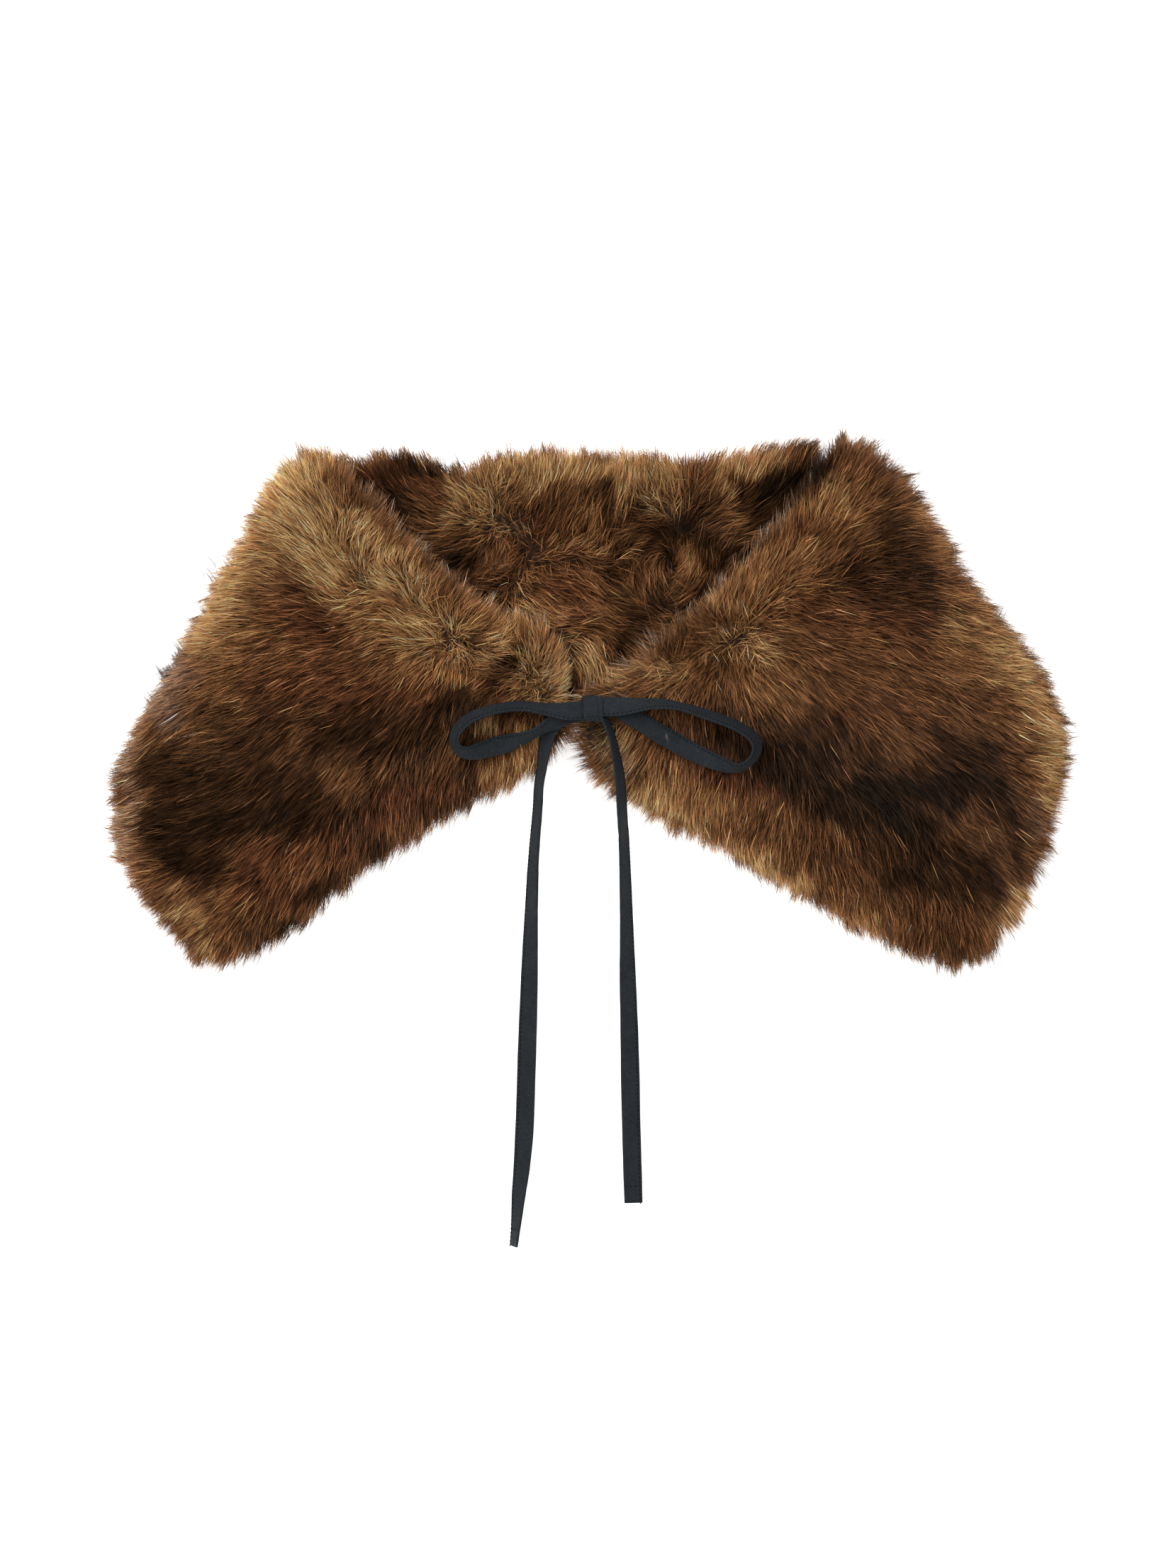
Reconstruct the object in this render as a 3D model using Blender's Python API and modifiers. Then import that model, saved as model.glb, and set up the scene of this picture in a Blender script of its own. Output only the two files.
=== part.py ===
"""Fur collar wrap, laid flat with its fronts folded over and its two ties in a bow.

The wrap is one long band with fur on both faces. It lies on its back on a level surface, folded at each
shoulder, so that the left and the right front lie on the back band and meet at the tie. Two flat cotton ties
make the bow, and their tails run down off the fur and along the surface.

+X points to the right front, +Y to the neck edge of the back band, and +Z up. The origin is on the surface,
under the middle of the fur. Tables and sizes are in millimetres, and the meshes in metres.
"""

import math

import bmesh
import bpy
import numpy as np

MM = 0.001
COLLECTION_NAME = "fur_collar_wrap"

# The fur band, as thick as its pile lies
BACK_THICKNESS = 26.0
FRONT_THICKNESS = 27.0
CLEARANCE = 0.8  # between the back band and the front that lies on it
RIM_SHARE = 0.47  # height of the rim, as a share of the thickness there
UPPER_ROUNDING = 17.0  # how far in from the rim the upper face is rounded
UNDER_ROUNDING = 11.0
CROWN = 2.5  # how much the middle of a panel stands above its edges
CROWN_REACH = 60.0
SOFTENING_PASSES = 6

# How a front follows the back band: distances past the back band's own edge
UNDER_DROP = (32.0, 1.0)  # underside: starts and ends this far outside and inside the edge
UNDER_DROP_AT_FOLD = (8.0, 4.0)  # the same by the shoulder fold, where the band turns round the edge
UPPER_DROP = (48.0, 30.0)
FOLD_SHARE = (0.10, 0.34)  # of the front's length: full fold height up to the first, none from the second

# Grid of a panel: cells along the band and across it
BACK_CELLS = (38, 20)
FRONT_CELLS = (26, 22)

# Edges of the back band seen from above, (x, y) through which each edge runs
BACK_NECK = [(-149, 137), (-108, 144), (-74, 136), (-36, 145), (44, 140), (86, 141), (124, 149), (142, 136)]
BACK_OUTER = [(-232, -14), (-170, -28), (-90, -20), (-12, -9), (60, -17), (150, -27), (250, -16)]
BACK_LEFT = [(-149, 137), (-176, 90), (-205, 35), (-232, -14)]
BACK_RIGHT = [(142, 136), (165, 113), (206, 49), (231, 17), (250, -16)]

# Edges of the left front: neck edge, outer edge, shoulder fold and the end that is tied
LEFT_NECK = [(-162, 140), (-149, 143), (-134, 131), (-87, 81), (-52, 54), (-19, 41), (-10, 12), (-12, -17)]
LEFT_OUTER = [(-261, -22), (-271, -52), (-267, -88), (-247, -121), (-222, -148)]
LEFT_FOLD = [(-162, 140), (-183, 122), (-204, 82), (-224, 44), (-249, -3), (-261, -22)]
LEFT_END = [(-12, -17), (-26, -38), (-65, -59), (-118, -91), (-157, -123), (-195, -146), (-222, -148)]

# Edges of the right front
RIGHT_NECK = [(153, 149), (140, 151), (131, 140), (101, 97), (54, 50), (11, 14), (-6, 2), (-8, -18)]
RIGHT_OUTER = [(270, -19), (271, -45), (263, -77), (245, -114), (222, -148)]
RIGHT_FOLD = [(153, 149), (182, 125), (204, 92), (222, 61), (250, 28), (268, -3), (270, -19)]
RIGHT_END = [(-8, -18), (-6, -35), (15, -58), (68, -82), (112, -107), (164, -136), (205, -151), (222, -148)]

# Soft folds of each panel: (from x, y), (to x, y), half width, height above the panel, below it if negative
BACK_FOLDS = [
    ((44, 114), (88, 82), 13, -7.0),
    ((-46, 112), (-20, 80), 14, -4.5),
    ((-74, 116), (-46, 104), 13, 2.0),
    ((50, 92), (72, 70), 13, 3.0),
    ((4, 122), (14, 60), 16, 2.0),
    ((-2, 46), (20, 96), 9, -2.0),
]
LEFT_FOLDS = [
    ((-150, 104), (-110, 50), 12, -3.0),
    ((-110, 50), (-70, 32), 12, -2.5),
    ((-146, 124), (-84, 62), 15, 2.0),
    ((-60, 44), (-28, 26), 15, 2.0),
    ((-160, -6), (-92, -34), 20, -4.0),
    ((-246, -14), (-180, -40), 24, -2.0),
    ((-205, 10), (-150, 40), 30, 1.5),
    ((-230, -90), (-120, -66), 26, 1.5),
]
RIGHT_FOLDS = [
    ((122, 116), (40, 34), 15, 2.5),
    ((96, -18), (170, -44), 20, -4.0),
    ((170, -44), (246, -34), 20, -3.5),
    ((150, -78), (196, -92), 18, -2.5),
    ((190, -58), (226, -66), 15, 2.5),
    ((60, -56), (150, -96), 22, 2.0),
    ((232, 0), (258, -22), 22, 1.5),
]
TIE_HOLLOWS = [  # where the bow presses the fronts down
    ((-28, -2), (36, -3), 22, -9.0),
    ((-74, -14), (-44, -9), 14, -3.0),
    ((58, -10), (90, -24), 14, -3.0),
    ((10, -14), (18, -44), 13, -4.5),
]

# The ties: flat, turned and topstitched cotton
TIE_WIDTH = 10.8
TIE_THICKNESS = 1.6
TIE_EDGE = 0.5  # rounding of the long edges
TIE_STEP = 6.0  # between the points of a tie's centre line

# Routes of the ties, a row for each point of the centre line: x, y, z and the tilt in degrees from lying flat
LOOP_LEFT_ROUTE = [
    (-4.2, -4.6, 49.3, 0),
    (-11.0, -4.9, 49.4, 12),
    (-17.0, -4.6, 49.6, 34),
    (-24.0, -3.8, 50.2, 50),
    (-32.0, -2.6, 51.0, 59),
    (-40.0, -2.1, 52.2, 61),
    (-48.0, -3.0, 53.4, 61),
    (-56.0, -4.8, 54.0, 60),
    (-64.0, -7.6, 53.6, 58),
    (-70.8, -12.2, 52.4, 56),
    (-74.8, -18.4, 50.6, 60),
    (-74.4, -24.0, 48.4, 62),
    (-70.4, -27.2, 45.8, 52),
    (-66.0, -27.8, 43.6, 42),
    (-60.0, -26.6, 41.6, 28),
    (-52.0, -24.2, 40.6, 8),
    (-44.0, -22.2, 41.6, 26),
    (-36.0, -19.4, 44.0, 52),
    (-28.0, -15.8, 47.2, 66),
    (-20.4, -11.4, 47.2, 36),
    (-16.8, -9.2, 46.3, 12),
    (-13.0, -7.2, 45.9, 0),
    (-8.0, -5.8, 46.2, 0),
    (-4.2, -5.0, 46.2, 0),
]
LOOP_RIGHT_ROUTE = [
    (9.0, -2.4, 49.6, 0),
    (16.0, -2.4, 49.8, -12),
    (25.0, -1.8, 50.2, -36),
    (34.0, -0.9, 51.0, -54),
    (44.0, -1.2, 52.2, -62),
    (53.0, -2.8, 53.0, -65),
    (62.0, -5.6, 53.6, -62),
    (72.0, -9.0, 53.6, -60),
    (80.0, -12.0, 53.0, -58),
    (87.0, -15.6, 52.0, -56),
    (92.0, -19.8, 50.8, -56),
    (94.2, -25.0, 49.4, -58),
    (92.4, -30.6, 47.8, -66),
    (88.0, -34.8, 46.4, -70),
    (83.2, -36.4, 45.2, -64),
    (78.0, -35.6, 43.8, -48),
    (71.6, -33.4, 42.8, -34),
    (64.0, -30.2, 42.6, -20),
    (56.0, -26.4, 43.0, -8),
    (48.0, -22.0, 43.8, 0),
    (40.0, -17.4, 44.4, 0),
    (32.0, -12.4, 45.2, 0),
    (24.0, -7.6, 46.0, 0),
    (16.0, -3.0, 46.4, 0),
    (9.2, -2.4, 46.6, 0),
]
TAIL_LEFT_ROUTE = [
    (-4.2, -5.0, 44.2, 0),
    (-10.0, -5.8, 43.8, 0),
    (-15.6, -7.8, 42.6, 4),
    (-20.0, -11.6, 41.4, 12),
    (-23.0, -17.6, 40.9, 34),
    (-24.9, -26.0, 39.6, 50),
    (-26.4, -36.0, 35.6, 60),
    (-27.8, -44.0, 25.5, 62),
    (-28.6, -52.0, 15.5, 62),
    (-29.3, -62.0, 8.8, 62),
    (-30.4, -74.0, 5.6, 60),
    (-31.6, -90.0, 5.4, 57),
    (-32.3, -106.0, 5.2, 52),
    (-32.9, -122.0, 4.7, 46),
    (-33.4, -138.0, 4.1, 36),
    (-34.0, -160.0, 3.2, 24),
    (-34.8, -184.0, 2.1, 10),
    (-35.6, -208.0, 1.4, 2),
    (-36.6, -240.0, 1.6, 5),
    (-38.2, -264.0, 3.6, 28),
    (-40.0, -280.0, 4.7, 44),
    (-41.4, -296.0, 5.5, 60),
    (-42.8, -309.4, 5.8, 70),
]
TAIL_RIGHT_ROUTE = [
    (8.9, -8.6, 45.6, -66),
    (10.7, -13.0, 45.2, -70),
    (13.2, -20.0, 44.8, -71),
    (15.4, -30.0, 43.8, -66),
    (17.0, -39.0, 41.8, -62),
    (18.0, -48.0, 38.0, -61),
    (18.6, -57.0, 31.5, -60),
    (19.2, -66.0, 21.5, -60),
    (19.9, -75.0, 12.0, -59),
    (20.4, -85.0, 6.8, -57),
    (20.8, -97.0, 5.4, -54),
    (21.2, -110.0, 5.2, -52),
    (21.6, -124.0, 4.8, -47),
    (21.9, -138.0, 4.4, -41),
    (22.3, -158.0, 3.7, -30),
    (23.1, -184.0, 2.8, -18),
    (23.7, -210.0, 1.6, -5),
    (24.3, -240.0, 1.3, 0),
    (25.6, -285.2, 1.3, 0),
]
ROOT_LEFT_ROUTE = [(-4.0, -4.8, 42.1, 0), (-8.0, -4.8, 41.6, 0), (-12.6, -4.8, 40.6, 0)]
ROOT_RIGHT_ROUTE = [(9.0, -2.1, 44.0, 0), (13.0, -2.1, 43.9, 0), (19.0, -2.1, 43.9, 0)]

KNOT_CENTRE = (2.4, -3.2, 46.9)
KNOT_SIZE = (11.6, 14.4, 9.0)
KNOT_WAIST = 0.82  # of the knot's length, where the ties run into it

FUR_COLOUR = (0.165, 0.072, 0.024, 1.0)
TIE_COLOUR = (0.022, 0.027, 0.033, 1.0)


def clear_scene():
    """Removes what the scene holds."""
    for thing in list(bpy.data.objects):
        bpy.data.objects.remove(thing, do_unlink=True)


def make_material(name, colour, roughness, sheen):
    """A Principled material with a plain colour."""
    material = bpy.data.materials.new(name)
    material.use_nodes = True
    shader = material.node_tree.nodes["Principled BSDF"]
    shader.inputs["Base Color"].default_value = colour
    shader.inputs["Roughness"].default_value = roughness
    shader.inputs["Metallic"].default_value = 0.0
    shader.inputs["Sheen Weight"].default_value = sheen
    material.diffuse_color = colour
    return material


def ease(value):
    """0 below 0, 1 above 1, and a smooth S between."""
    value = np.clip(value, 0.0, 1.0)
    return value * value * (3.0 - 2.0 * value)


def rounding(distance, reach):
    """A quarter circle: 0 at the rim, 1 from reach inwards."""
    left = 1.0 - np.clip(distance / reach, 0.0, 1.0)
    return np.sqrt(1.0 - left * left)


def gathered_to_ends(count):
    """count + 1 fractions from 0 to 1 that lie closer together at both ends."""
    return (1.0 - np.cos(np.linspace(0.0, math.pi, count + 1))) / 2.0


def smooth_line(points, fractions):
    """Points at these fractions of the length of a smooth line through the given points."""
    points = np.asarray(points, float)
    ends = 2 * points[[0, -1]] - points[[1, -2]]
    knots = np.vstack([ends[0], points, ends[1]])
    share = np.linspace(0.0, 1.0, 24, endpoint=False)[:, None]
    runs = []
    for before, start, stop, after in zip(knots, knots[1:], knots[2:], knots[3:]):
        slope_in, slope_out = (stop - before) / 2, (after - start) / 2
        chord = stop - start
        runs.append(
            start
            + slope_in * share
            + (3 * chord - 2 * slope_in - slope_out) * share**2
            + (slope_in + slope_out - 2 * chord) * share**3
        )
    line = np.vstack([*runs, points[-1:]])
    length = np.concatenate([[0.0], np.cumsum(np.linalg.norm(np.diff(line, axis=0), axis=1))])
    wanted = np.asarray(fractions) * length[-1]
    return np.stack([np.interp(wanted, length, column) for column in line.T], axis=1)


def panel_plan(neck, outer, start, end, cells):
    """A grid of (x, y) that fills four joined edges: rows run from start to end, columns from neck to outer."""
    along, across = gathered_to_ends(cells[0]), gathered_to_ends(cells[1])
    top, bottom = smooth_line(neck, along), smooth_line(outer, along)
    first, last = smooth_line(start, across), smooth_line(end, across)
    t, s = along[:, None, None], across[None, :, None]
    lengthwise = (1 - s) * top[:, None] + s * bottom[:, None]
    crosswise = (1 - t) * first[None] + t * last[None]
    corners = (1 - t) * ((1 - s) * first[0] + s * first[-1]) + t * ((1 - s) * last[0] + s * last[-1])
    return lengthwise + crosswise - corners


def rim_of(plan):
    """The grid's border as one closed line."""
    return np.vstack([plan[:, 0], plan[-1, 1:], plan[-2::-1, -1], plan[0, -2:0:-1]])


def distance_to(line, points):
    """Distance from each point to the closed line."""
    start, way = line, np.roll(line, -1, axis=0) - line
    offset = points[..., None, :] - start
    share = (offset * way).sum(-1) / np.maximum((way * way).sum(-1), 1e-12)
    nearest = offset - np.clip(share, 0.0, 1.0)[..., None] * way
    return np.linalg.norm(nearest, axis=-1).min(-1)


def depth_inside(line, points):
    """Distance to the closed line, negative outside it."""
    start, stop = line, np.roll(line, -1, axis=0)
    x, y = points[..., None, 0], points[..., None, 1]
    spans = (start[:, 1] > y) != (stop[:, 1] > y)
    rise = np.where(stop[:, 1] == start[:, 1], 1.0, stop[:, 1] - start[:, 1])
    crossed = spans & (x < start[:, 0] + (y - start[:, 1]) / rise * (stop[:, 0] - start[:, 0]))
    return np.where(crossed.sum(-1) % 2 == 1, 1.0, -1.0) * distance_to(line, points)


def softened(heights):
    """The grid's heights, each point inside the rim evened out with its neighbours."""
    for _ in range(SOFTENING_PASSES):
        sides = heights[:-2, 1:-1] + heights[2:, 1:-1] + heights[1:-1, :-2] + heights[1:-1, 2:]
        heights = heights.copy()
        heights[2:-2, 2:-2] = (heights[1:-1, 1:-1] + sides / 4)[1:-1, 1:-1] / 2
    return heights


def fold_relief(points, folds):
    """How far the soft folds raise or lower each point."""
    height = np.zeros(points.shape[:-1])
    for start, stop, half_width, rise in folds:
        start, way = np.array(start, float), np.subtract(stop, start).astype(float)
        offset = points - start
        share = np.clip((offset @ way) / (way @ way), 0.0, 1.0)
        away = np.linalg.norm(offset - share[..., None] * way, axis=-1)
        height += rise * np.exp(-((away / half_width) ** 2))
    return height


def pillow(name, plan, upper, lower, material):
    """One closed body from a grid seen from above and its two heights, which meet at the rim."""
    rows, columns = plan.shape[0] - 1, plan.shape[1] - 1
    body = bmesh.new()
    for heights in (upper, lower):
        grid = bmesh.ops.create_grid(body, x_segments=rows, y_segments=columns, size=1.0)
        for vert in grid["verts"]:
            row = round((vert.co.x + 1) / 2 * rows)
            column = round((vert.co.y + 1) / 2 * columns)
            vert.co = [*(plan[row, column] * MM), heights[row, column] * MM]
    bmesh.ops.remove_doubles(body, verts=body.verts, dist=1e-7)
    bmesh.ops.recalc_face_normals(body, faces=body.faces)
    mesh = bpy.data.meshes.new(name)
    body.to_mesh(mesh)
    body.free()
    mesh.materials.append(material)
    mesh.shade_smooth()
    panel = bpy.data.objects.new(name, mesh)
    bpy.data.collections[COLLECTION_NAME].objects.link(panel)
    return panel


def make_back_band(material):
    """The middle of the band, flat on the surface. Returns its rim, which the fronts lie over."""
    plan = panel_plan(BACK_NECK, BACK_OUTER, BACK_LEFT, BACK_RIGHT, BACK_CELLS)
    rim = rim_of(plan)
    depth = distance_to(rim, plan)
    rim_height = RIM_SHARE * BACK_THICKNESS
    round_top = rounding(depth, UPPER_ROUNDING)
    upper = rim_height + (BACK_THICKNESS - rim_height) * round_top + fold_relief(plan, BACK_FOLDS) * round_top
    lower = rim_height * (1.0 - rounding(depth, UNDER_ROUNDING))
    pillow("back_band", plan, upper, lower, material)
    return rim


def make_front(name, neck, outer, fold, end, folds, back_rim, material):
    """One end of the band, from its shoulder fold to the tie, lying on the back band and on the surface."""
    plan = panel_plan(neck, outer, fold, end, FRONT_CELLS)
    rim = rim_of(plan)
    depth = distance_to(rim, plan)
    over_back = depth_inside(back_rim, plan)
    along = gathered_to_ends(FRONT_CELLS[0])[:, None]
    by_fold = 1.0 - ease((along - FOLD_SHARE[0]) / (FOLD_SHARE[1] - FOLD_SHARE[0]))

    outside = UNDER_DROP[0] + (UNDER_DROP_AT_FOLD[0] - UNDER_DROP[0]) * by_fold
    inside = UNDER_DROP[1] + (UNDER_DROP_AT_FOLD[1] - UNDER_DROP[1]) * by_fold
    ground = (BACK_THICKNESS + CLEARANCE) * ease((over_back + outside) / (outside + inside))
    ground += np.clip(fold_relief(plan, BACK_FOLDS), 0.0, None) * ease(over_back / UPPER_ROUNDING)
    drape = ease((over_back + UPPER_DROP[0]) / sum(UPPER_DROP))
    drape = (BACK_THICKNESS + CLEARANCE) * (drape + (1.0 - drape) * by_fold)

    top = drape + FRONT_THICKNESS
    rim_height = ground + RIM_SHARE * (top - ground)
    round_top = rounding(depth, UPPER_ROUNDING)
    relief = CROWN * ease((depth - UPPER_ROUNDING / 2) / CROWN_REACH) + fold_relief(plan, folds + TIE_HOLLOWS)
    upper = softened(rim_height + (top - rim_height) * round_top + relief * round_top)
    lower = rim_height + (ground - rim_height) * rounding(depth, UNDER_ROUNDING)
    return pillow(name, plan, upper, lower, material)


def flat_profile():
    """The tie's cross-section: a flat strip with rounded edges."""
    half_width, half_thickness = TIE_WIDTH / 2, TIE_THICKNESS / 2
    corner = [(-half_width, half_thickness - TIE_EDGE), (TIE_EDGE - half_width, half_thickness)]
    upper = corner + [(-x, y) for x, y in reversed(corner)]
    outline = upper + [(x, -y) for x, y in reversed(upper)]
    data = bpy.data.curves.new("tie_profile", "CURVE")
    spline = data.splines.new("POLY")
    spline.points.add(len(outline) - 1)
    for point, (x, y) in zip(spline.points, outline):
        point.co = (x * MM, y * MM, 0.0, 1.0)
    spline.use_cyclic_u = True
    profile = bpy.data.objects.new("tie_profile", data)
    profile.hide_render = True
    profile.display_type = "WIRE"
    bpy.data.collections["guides"].objects.link(profile)
    return profile


def make_strap(name, route, profile, material):
    """A stretch of tie along its route, as a flat strip that tilts as the route says."""
    rough = smooth_line(route, np.linspace(0.0, 1.0, 60))
    length = np.linalg.norm(np.diff(rough[:, :3], axis=0), axis=1).sum()
    points = smooth_line(route, np.linspace(0.0, 1.0, max(4, round(length / TIE_STEP) + 1)))
    data = bpy.data.curves.new(name, "CURVE")
    data.dimensions = "3D"
    data.twist_mode = "Z_UP"
    data.bevel_mode = "OBJECT"
    data.bevel_object = profile
    data.use_fill_caps = True
    spline = data.splines.new("POLY")
    spline.points.add(len(points) - 1)
    for point, (x, y, z, tilt) in zip(spline.points, points):
        point.co = (x * MM, y * MM, z * MM, 1.0)
        point.tilt = math.radians(tilt)
    data.materials.append(material)
    strap = bpy.data.objects.new(name, data)
    bpy.data.collections[COLLECTION_NAME].objects.link(strap)
    return strap


def make_knot(material):
    """The knot of the bow: one turn of tie, pinched where the loops run into it."""
    bpy.ops.mesh.primitive_cube_add(size=1.0, location=[c * MM for c in KNOT_CENTRE])
    knot = bpy.context.object
    knot.name = knot.data.name = "tie_knot"
    cage = bmesh.new()
    cage.from_mesh(knot.data)
    bmesh.ops.subdivide_edges(cage, edges=cage.edges, cuts=2, use_grid_fill=True)
    for vert in cage.verts:
        side = abs(vert.co.x) > 0.4
        pinch = KNOT_WAIST if side else 1.0
        vert.co = [
            vert.co.x * KNOT_SIZE[0] * MM,
            vert.co.y * KNOT_SIZE[1] * MM * pinch,
            vert.co.z * KNOT_SIZE[2] * MM * pinch,
        ]
    cage.to_mesh(knot.data)
    cage.free()
    smooth = knot.modifiers.new("soften", "SUBSURF")
    smooth.levels = smooth.render_levels = 1
    knot.data.materials.append(material)
    knot.data.shade_smooth()
    for collection in list(knot.users_collection):
        collection.objects.unlink(knot)
    bpy.data.collections[COLLECTION_NAME].objects.link(knot)
    return knot


def main():
    clear_scene()
    for name in (COLLECTION_NAME, "guides"):
        bpy.context.scene.collection.children.link(bpy.data.collections.new(name))
    fur = make_material("brown_fur", FUR_COLOUR, 0.6, 0.4)
    cotton = make_material("dark_cotton", TIE_COLOUR, 0.85, 0.2)

    back_rim = make_back_band(fur)
    make_front("front_left", LEFT_NECK, LEFT_OUTER, LEFT_FOLD, LEFT_END, LEFT_FOLDS, back_rim, fur)
    make_front("front_right", RIGHT_NECK, RIGHT_OUTER, RIGHT_FOLD, RIGHT_END, RIGHT_FOLDS, back_rim, fur)

    profile = flat_profile()
    make_strap("tie_loop_left", LOOP_LEFT_ROUTE, profile, cotton)
    make_strap("tie_loop_right", LOOP_RIGHT_ROUTE, profile, cotton)
    make_strap("tie_tail_left", TAIL_LEFT_ROUTE, profile, cotton)
    make_strap("tie_tail_right", TAIL_RIGHT_ROUTE, profile, cotton)
    make_strap("tie_root_left", ROOT_LEFT_ROUTE, profile, cotton)
    make_strap("tie_root_right", ROOT_RIGHT_ROUTE, profile, cotton)
    make_knot(cotton)


main()
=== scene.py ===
"""Fur collar wrap: hair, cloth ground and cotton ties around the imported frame.

The wrap lies on its back on a pale floor, with its fronts folded over the back band and its ties in a bow.
Each fur panel is a thin cloth ground with hair on it. A hair is a slim blade of two triangles that leaves the
ground, bends over and follows its panel's comb table, and hairs lean together into locks. Tables that place
things over a panel are in millimetres, seen from above, with +X to the right front and +Y to the neck edge.
Everything else is in metres.
"""

from __future__ import annotations

import logging
import math
from dataclasses import dataclass, field
from enum import Enum

import bmesh
import bpy
import numpy as np
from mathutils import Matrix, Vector
from mathutils.bvhtree import BVHTree
from mathutils.kdtree import KDTree

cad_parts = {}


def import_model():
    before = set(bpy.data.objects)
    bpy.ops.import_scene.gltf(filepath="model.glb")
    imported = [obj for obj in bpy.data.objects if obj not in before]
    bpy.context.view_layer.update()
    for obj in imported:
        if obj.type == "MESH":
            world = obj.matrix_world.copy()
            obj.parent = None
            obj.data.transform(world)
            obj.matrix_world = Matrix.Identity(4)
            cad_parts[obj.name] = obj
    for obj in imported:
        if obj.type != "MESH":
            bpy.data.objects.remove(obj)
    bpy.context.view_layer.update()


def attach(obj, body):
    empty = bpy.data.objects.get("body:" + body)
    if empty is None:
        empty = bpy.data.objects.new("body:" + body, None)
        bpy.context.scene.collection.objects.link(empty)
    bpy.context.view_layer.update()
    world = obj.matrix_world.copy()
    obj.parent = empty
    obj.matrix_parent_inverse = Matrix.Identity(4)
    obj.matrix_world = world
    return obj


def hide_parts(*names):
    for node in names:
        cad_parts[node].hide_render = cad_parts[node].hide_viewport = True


MM = 0.001
BODY = "root"
UP = np.array([0.0, 0.0, 1.0])
FLOOR_CLEARANCE = 0.0004  # of the lowest hair and cloth
TIE_LEVEL = 0.02  # the height above which a tie lies on fur

log = logging.getLogger("fur_collar_wrap")


# ---------------------------------------------------------------- plain helpers


def linear(red: float, green: float, blue: float) -> np.ndarray:
    """A screen colour from 0 to 255 as a linear one from 0 to 1."""
    share = np.array([red, green, blue]) / 255.0
    return np.where(share <= 0.04045, share / 12.92, ((share + 0.055) / 1.055) ** 2.4)


def opaque(red: float, green: float, blue: float) -> tuple[float, ...]:
    """A screen colour from 0 to 255 as a shader socket's colour."""
    return (*linear(red, green, blue).tolist(), 1.0)


def unit(vectors: np.ndarray) -> np.ndarray:
    """The vectors at length one."""
    return vectors / np.maximum(np.linalg.norm(vectors, axis=-1, keepdims=True), 1e-9)


def dot(first: np.ndarray, second: np.ndarray) -> np.ndarray:
    """Row by row dot product, kept as a column."""
    return (first * second).sum(-1, keepdims=True)


def mix(first: np.ndarray, second: np.ndarray, share: np.ndarray) -> np.ndarray:
    """first where share is 0, second where it is 1."""
    return first + (second - first) * share


def smooth_line(points: np.ndarray, count: int, steps: int = 24) -> np.ndarray:
    """count points evenly along a smooth line through the given points.

    Args:
        points: the line's own points, a row each, with any further columns carried along.
        count: how many points to return.
        steps: into how many each stretch between two points is split to measure it.

    Returns:
        An array with a row for each point.
    """
    ends = 2 * points[[0, -1]] - points[[1, -2]]
    knots = np.vstack([ends[0], points, ends[1]])
    share = np.linspace(0.0, 1.0, steps, endpoint=False)[:, None]
    runs = []
    for before, start, stop, after in zip(knots, knots[1:], knots[2:], knots[3:]):
        slope_in, slope_out, chord = (stop - before) / 2, (after - start) / 2, stop - start
        runs.append(
            start
            + slope_in * share
            + (3 * chord - 2 * slope_in - slope_out) * share**2
            + (slope_in + slope_out - 2 * chord) * share**3
        )
    line = np.vstack([*runs, points[-1:]])
    length = np.concatenate([[0.0], np.cumsum(np.linalg.norm(np.diff(line[:, :3], axis=0), axis=1))])
    wanted = np.linspace(0.0, length[-1], count)
    return np.stack([np.interp(wanted, length, column) for column in line.T], axis=1)


def away_from(points: np.ndarray, start: np.ndarray, stop: np.ndarray) -> np.ndarray:
    """Distance in the plane from each point to a straight stroke.

    Args:
        points: x and y, a row each.
        start: where the stroke starts.
        stop: where it stops.

    Returns:
        A distance for each point.
    """
    way = stop - start
    share = np.clip(((points - start) @ way) / max(way @ way, 1e-9), 0.0, 1.0)
    return np.linalg.norm(points - start - share[..., None] * way, axis=-1)


def nearest(centres: np.ndarray, places: np.ndarray) -> np.ndarray:
    """The index of the centre nearest to each place.

    Args:
        centres: points, a row each.
        places: other points, a row each.

    Returns:
        A row number of centres for each place.
    """
    tree = KDTree(len(centres))
    for index, centre in enumerate(centres):
        tree.insert(centre, index)
    tree.balance()
    return np.array([tree.find(place)[1] for place in places])


class Ripple:
    """Smooth seeded noise made of plane waves."""

    WAVES = 9

    def __init__(self, rng: np.random.Generator, swell: float, depth: float = 1.0) -> None:
        """Draws the waves.

        Args:
            rng: the random numbers that the waves come from.
            swell: the usual size of a swell, in metres.
            depth: how far the noise goes from 0.
        """
        way = unit(rng.normal(size=(self.WAVES, 3)))
        self.ways = way * (2 * math.pi / swell) * rng.uniform(0.6, 1.6, (self.WAVES, 1))
        self.phases = rng.uniform(0, 2 * math.pi, self.WAVES)
        self.depth = depth

    def at(self, points: np.ndarray) -> np.ndarray:
        """The noise at each point."""
        return self.depth * (np.sin(points @ self.ways.T + self.phases).sum(-1) / math.sqrt(2 * self.WAVES))


def new_object(name: str, mesh: bpy.types.Mesh) -> bpy.types.Object:
    """An object in the scene's own collection.

    Args:
        name: its name.
        mesh: its mesh.

    Returns:
        The object.
    """
    thing = bpy.data.objects.new(name, mesh)
    bpy.context.scene.collection.objects.link(thing)
    return thing


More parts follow.
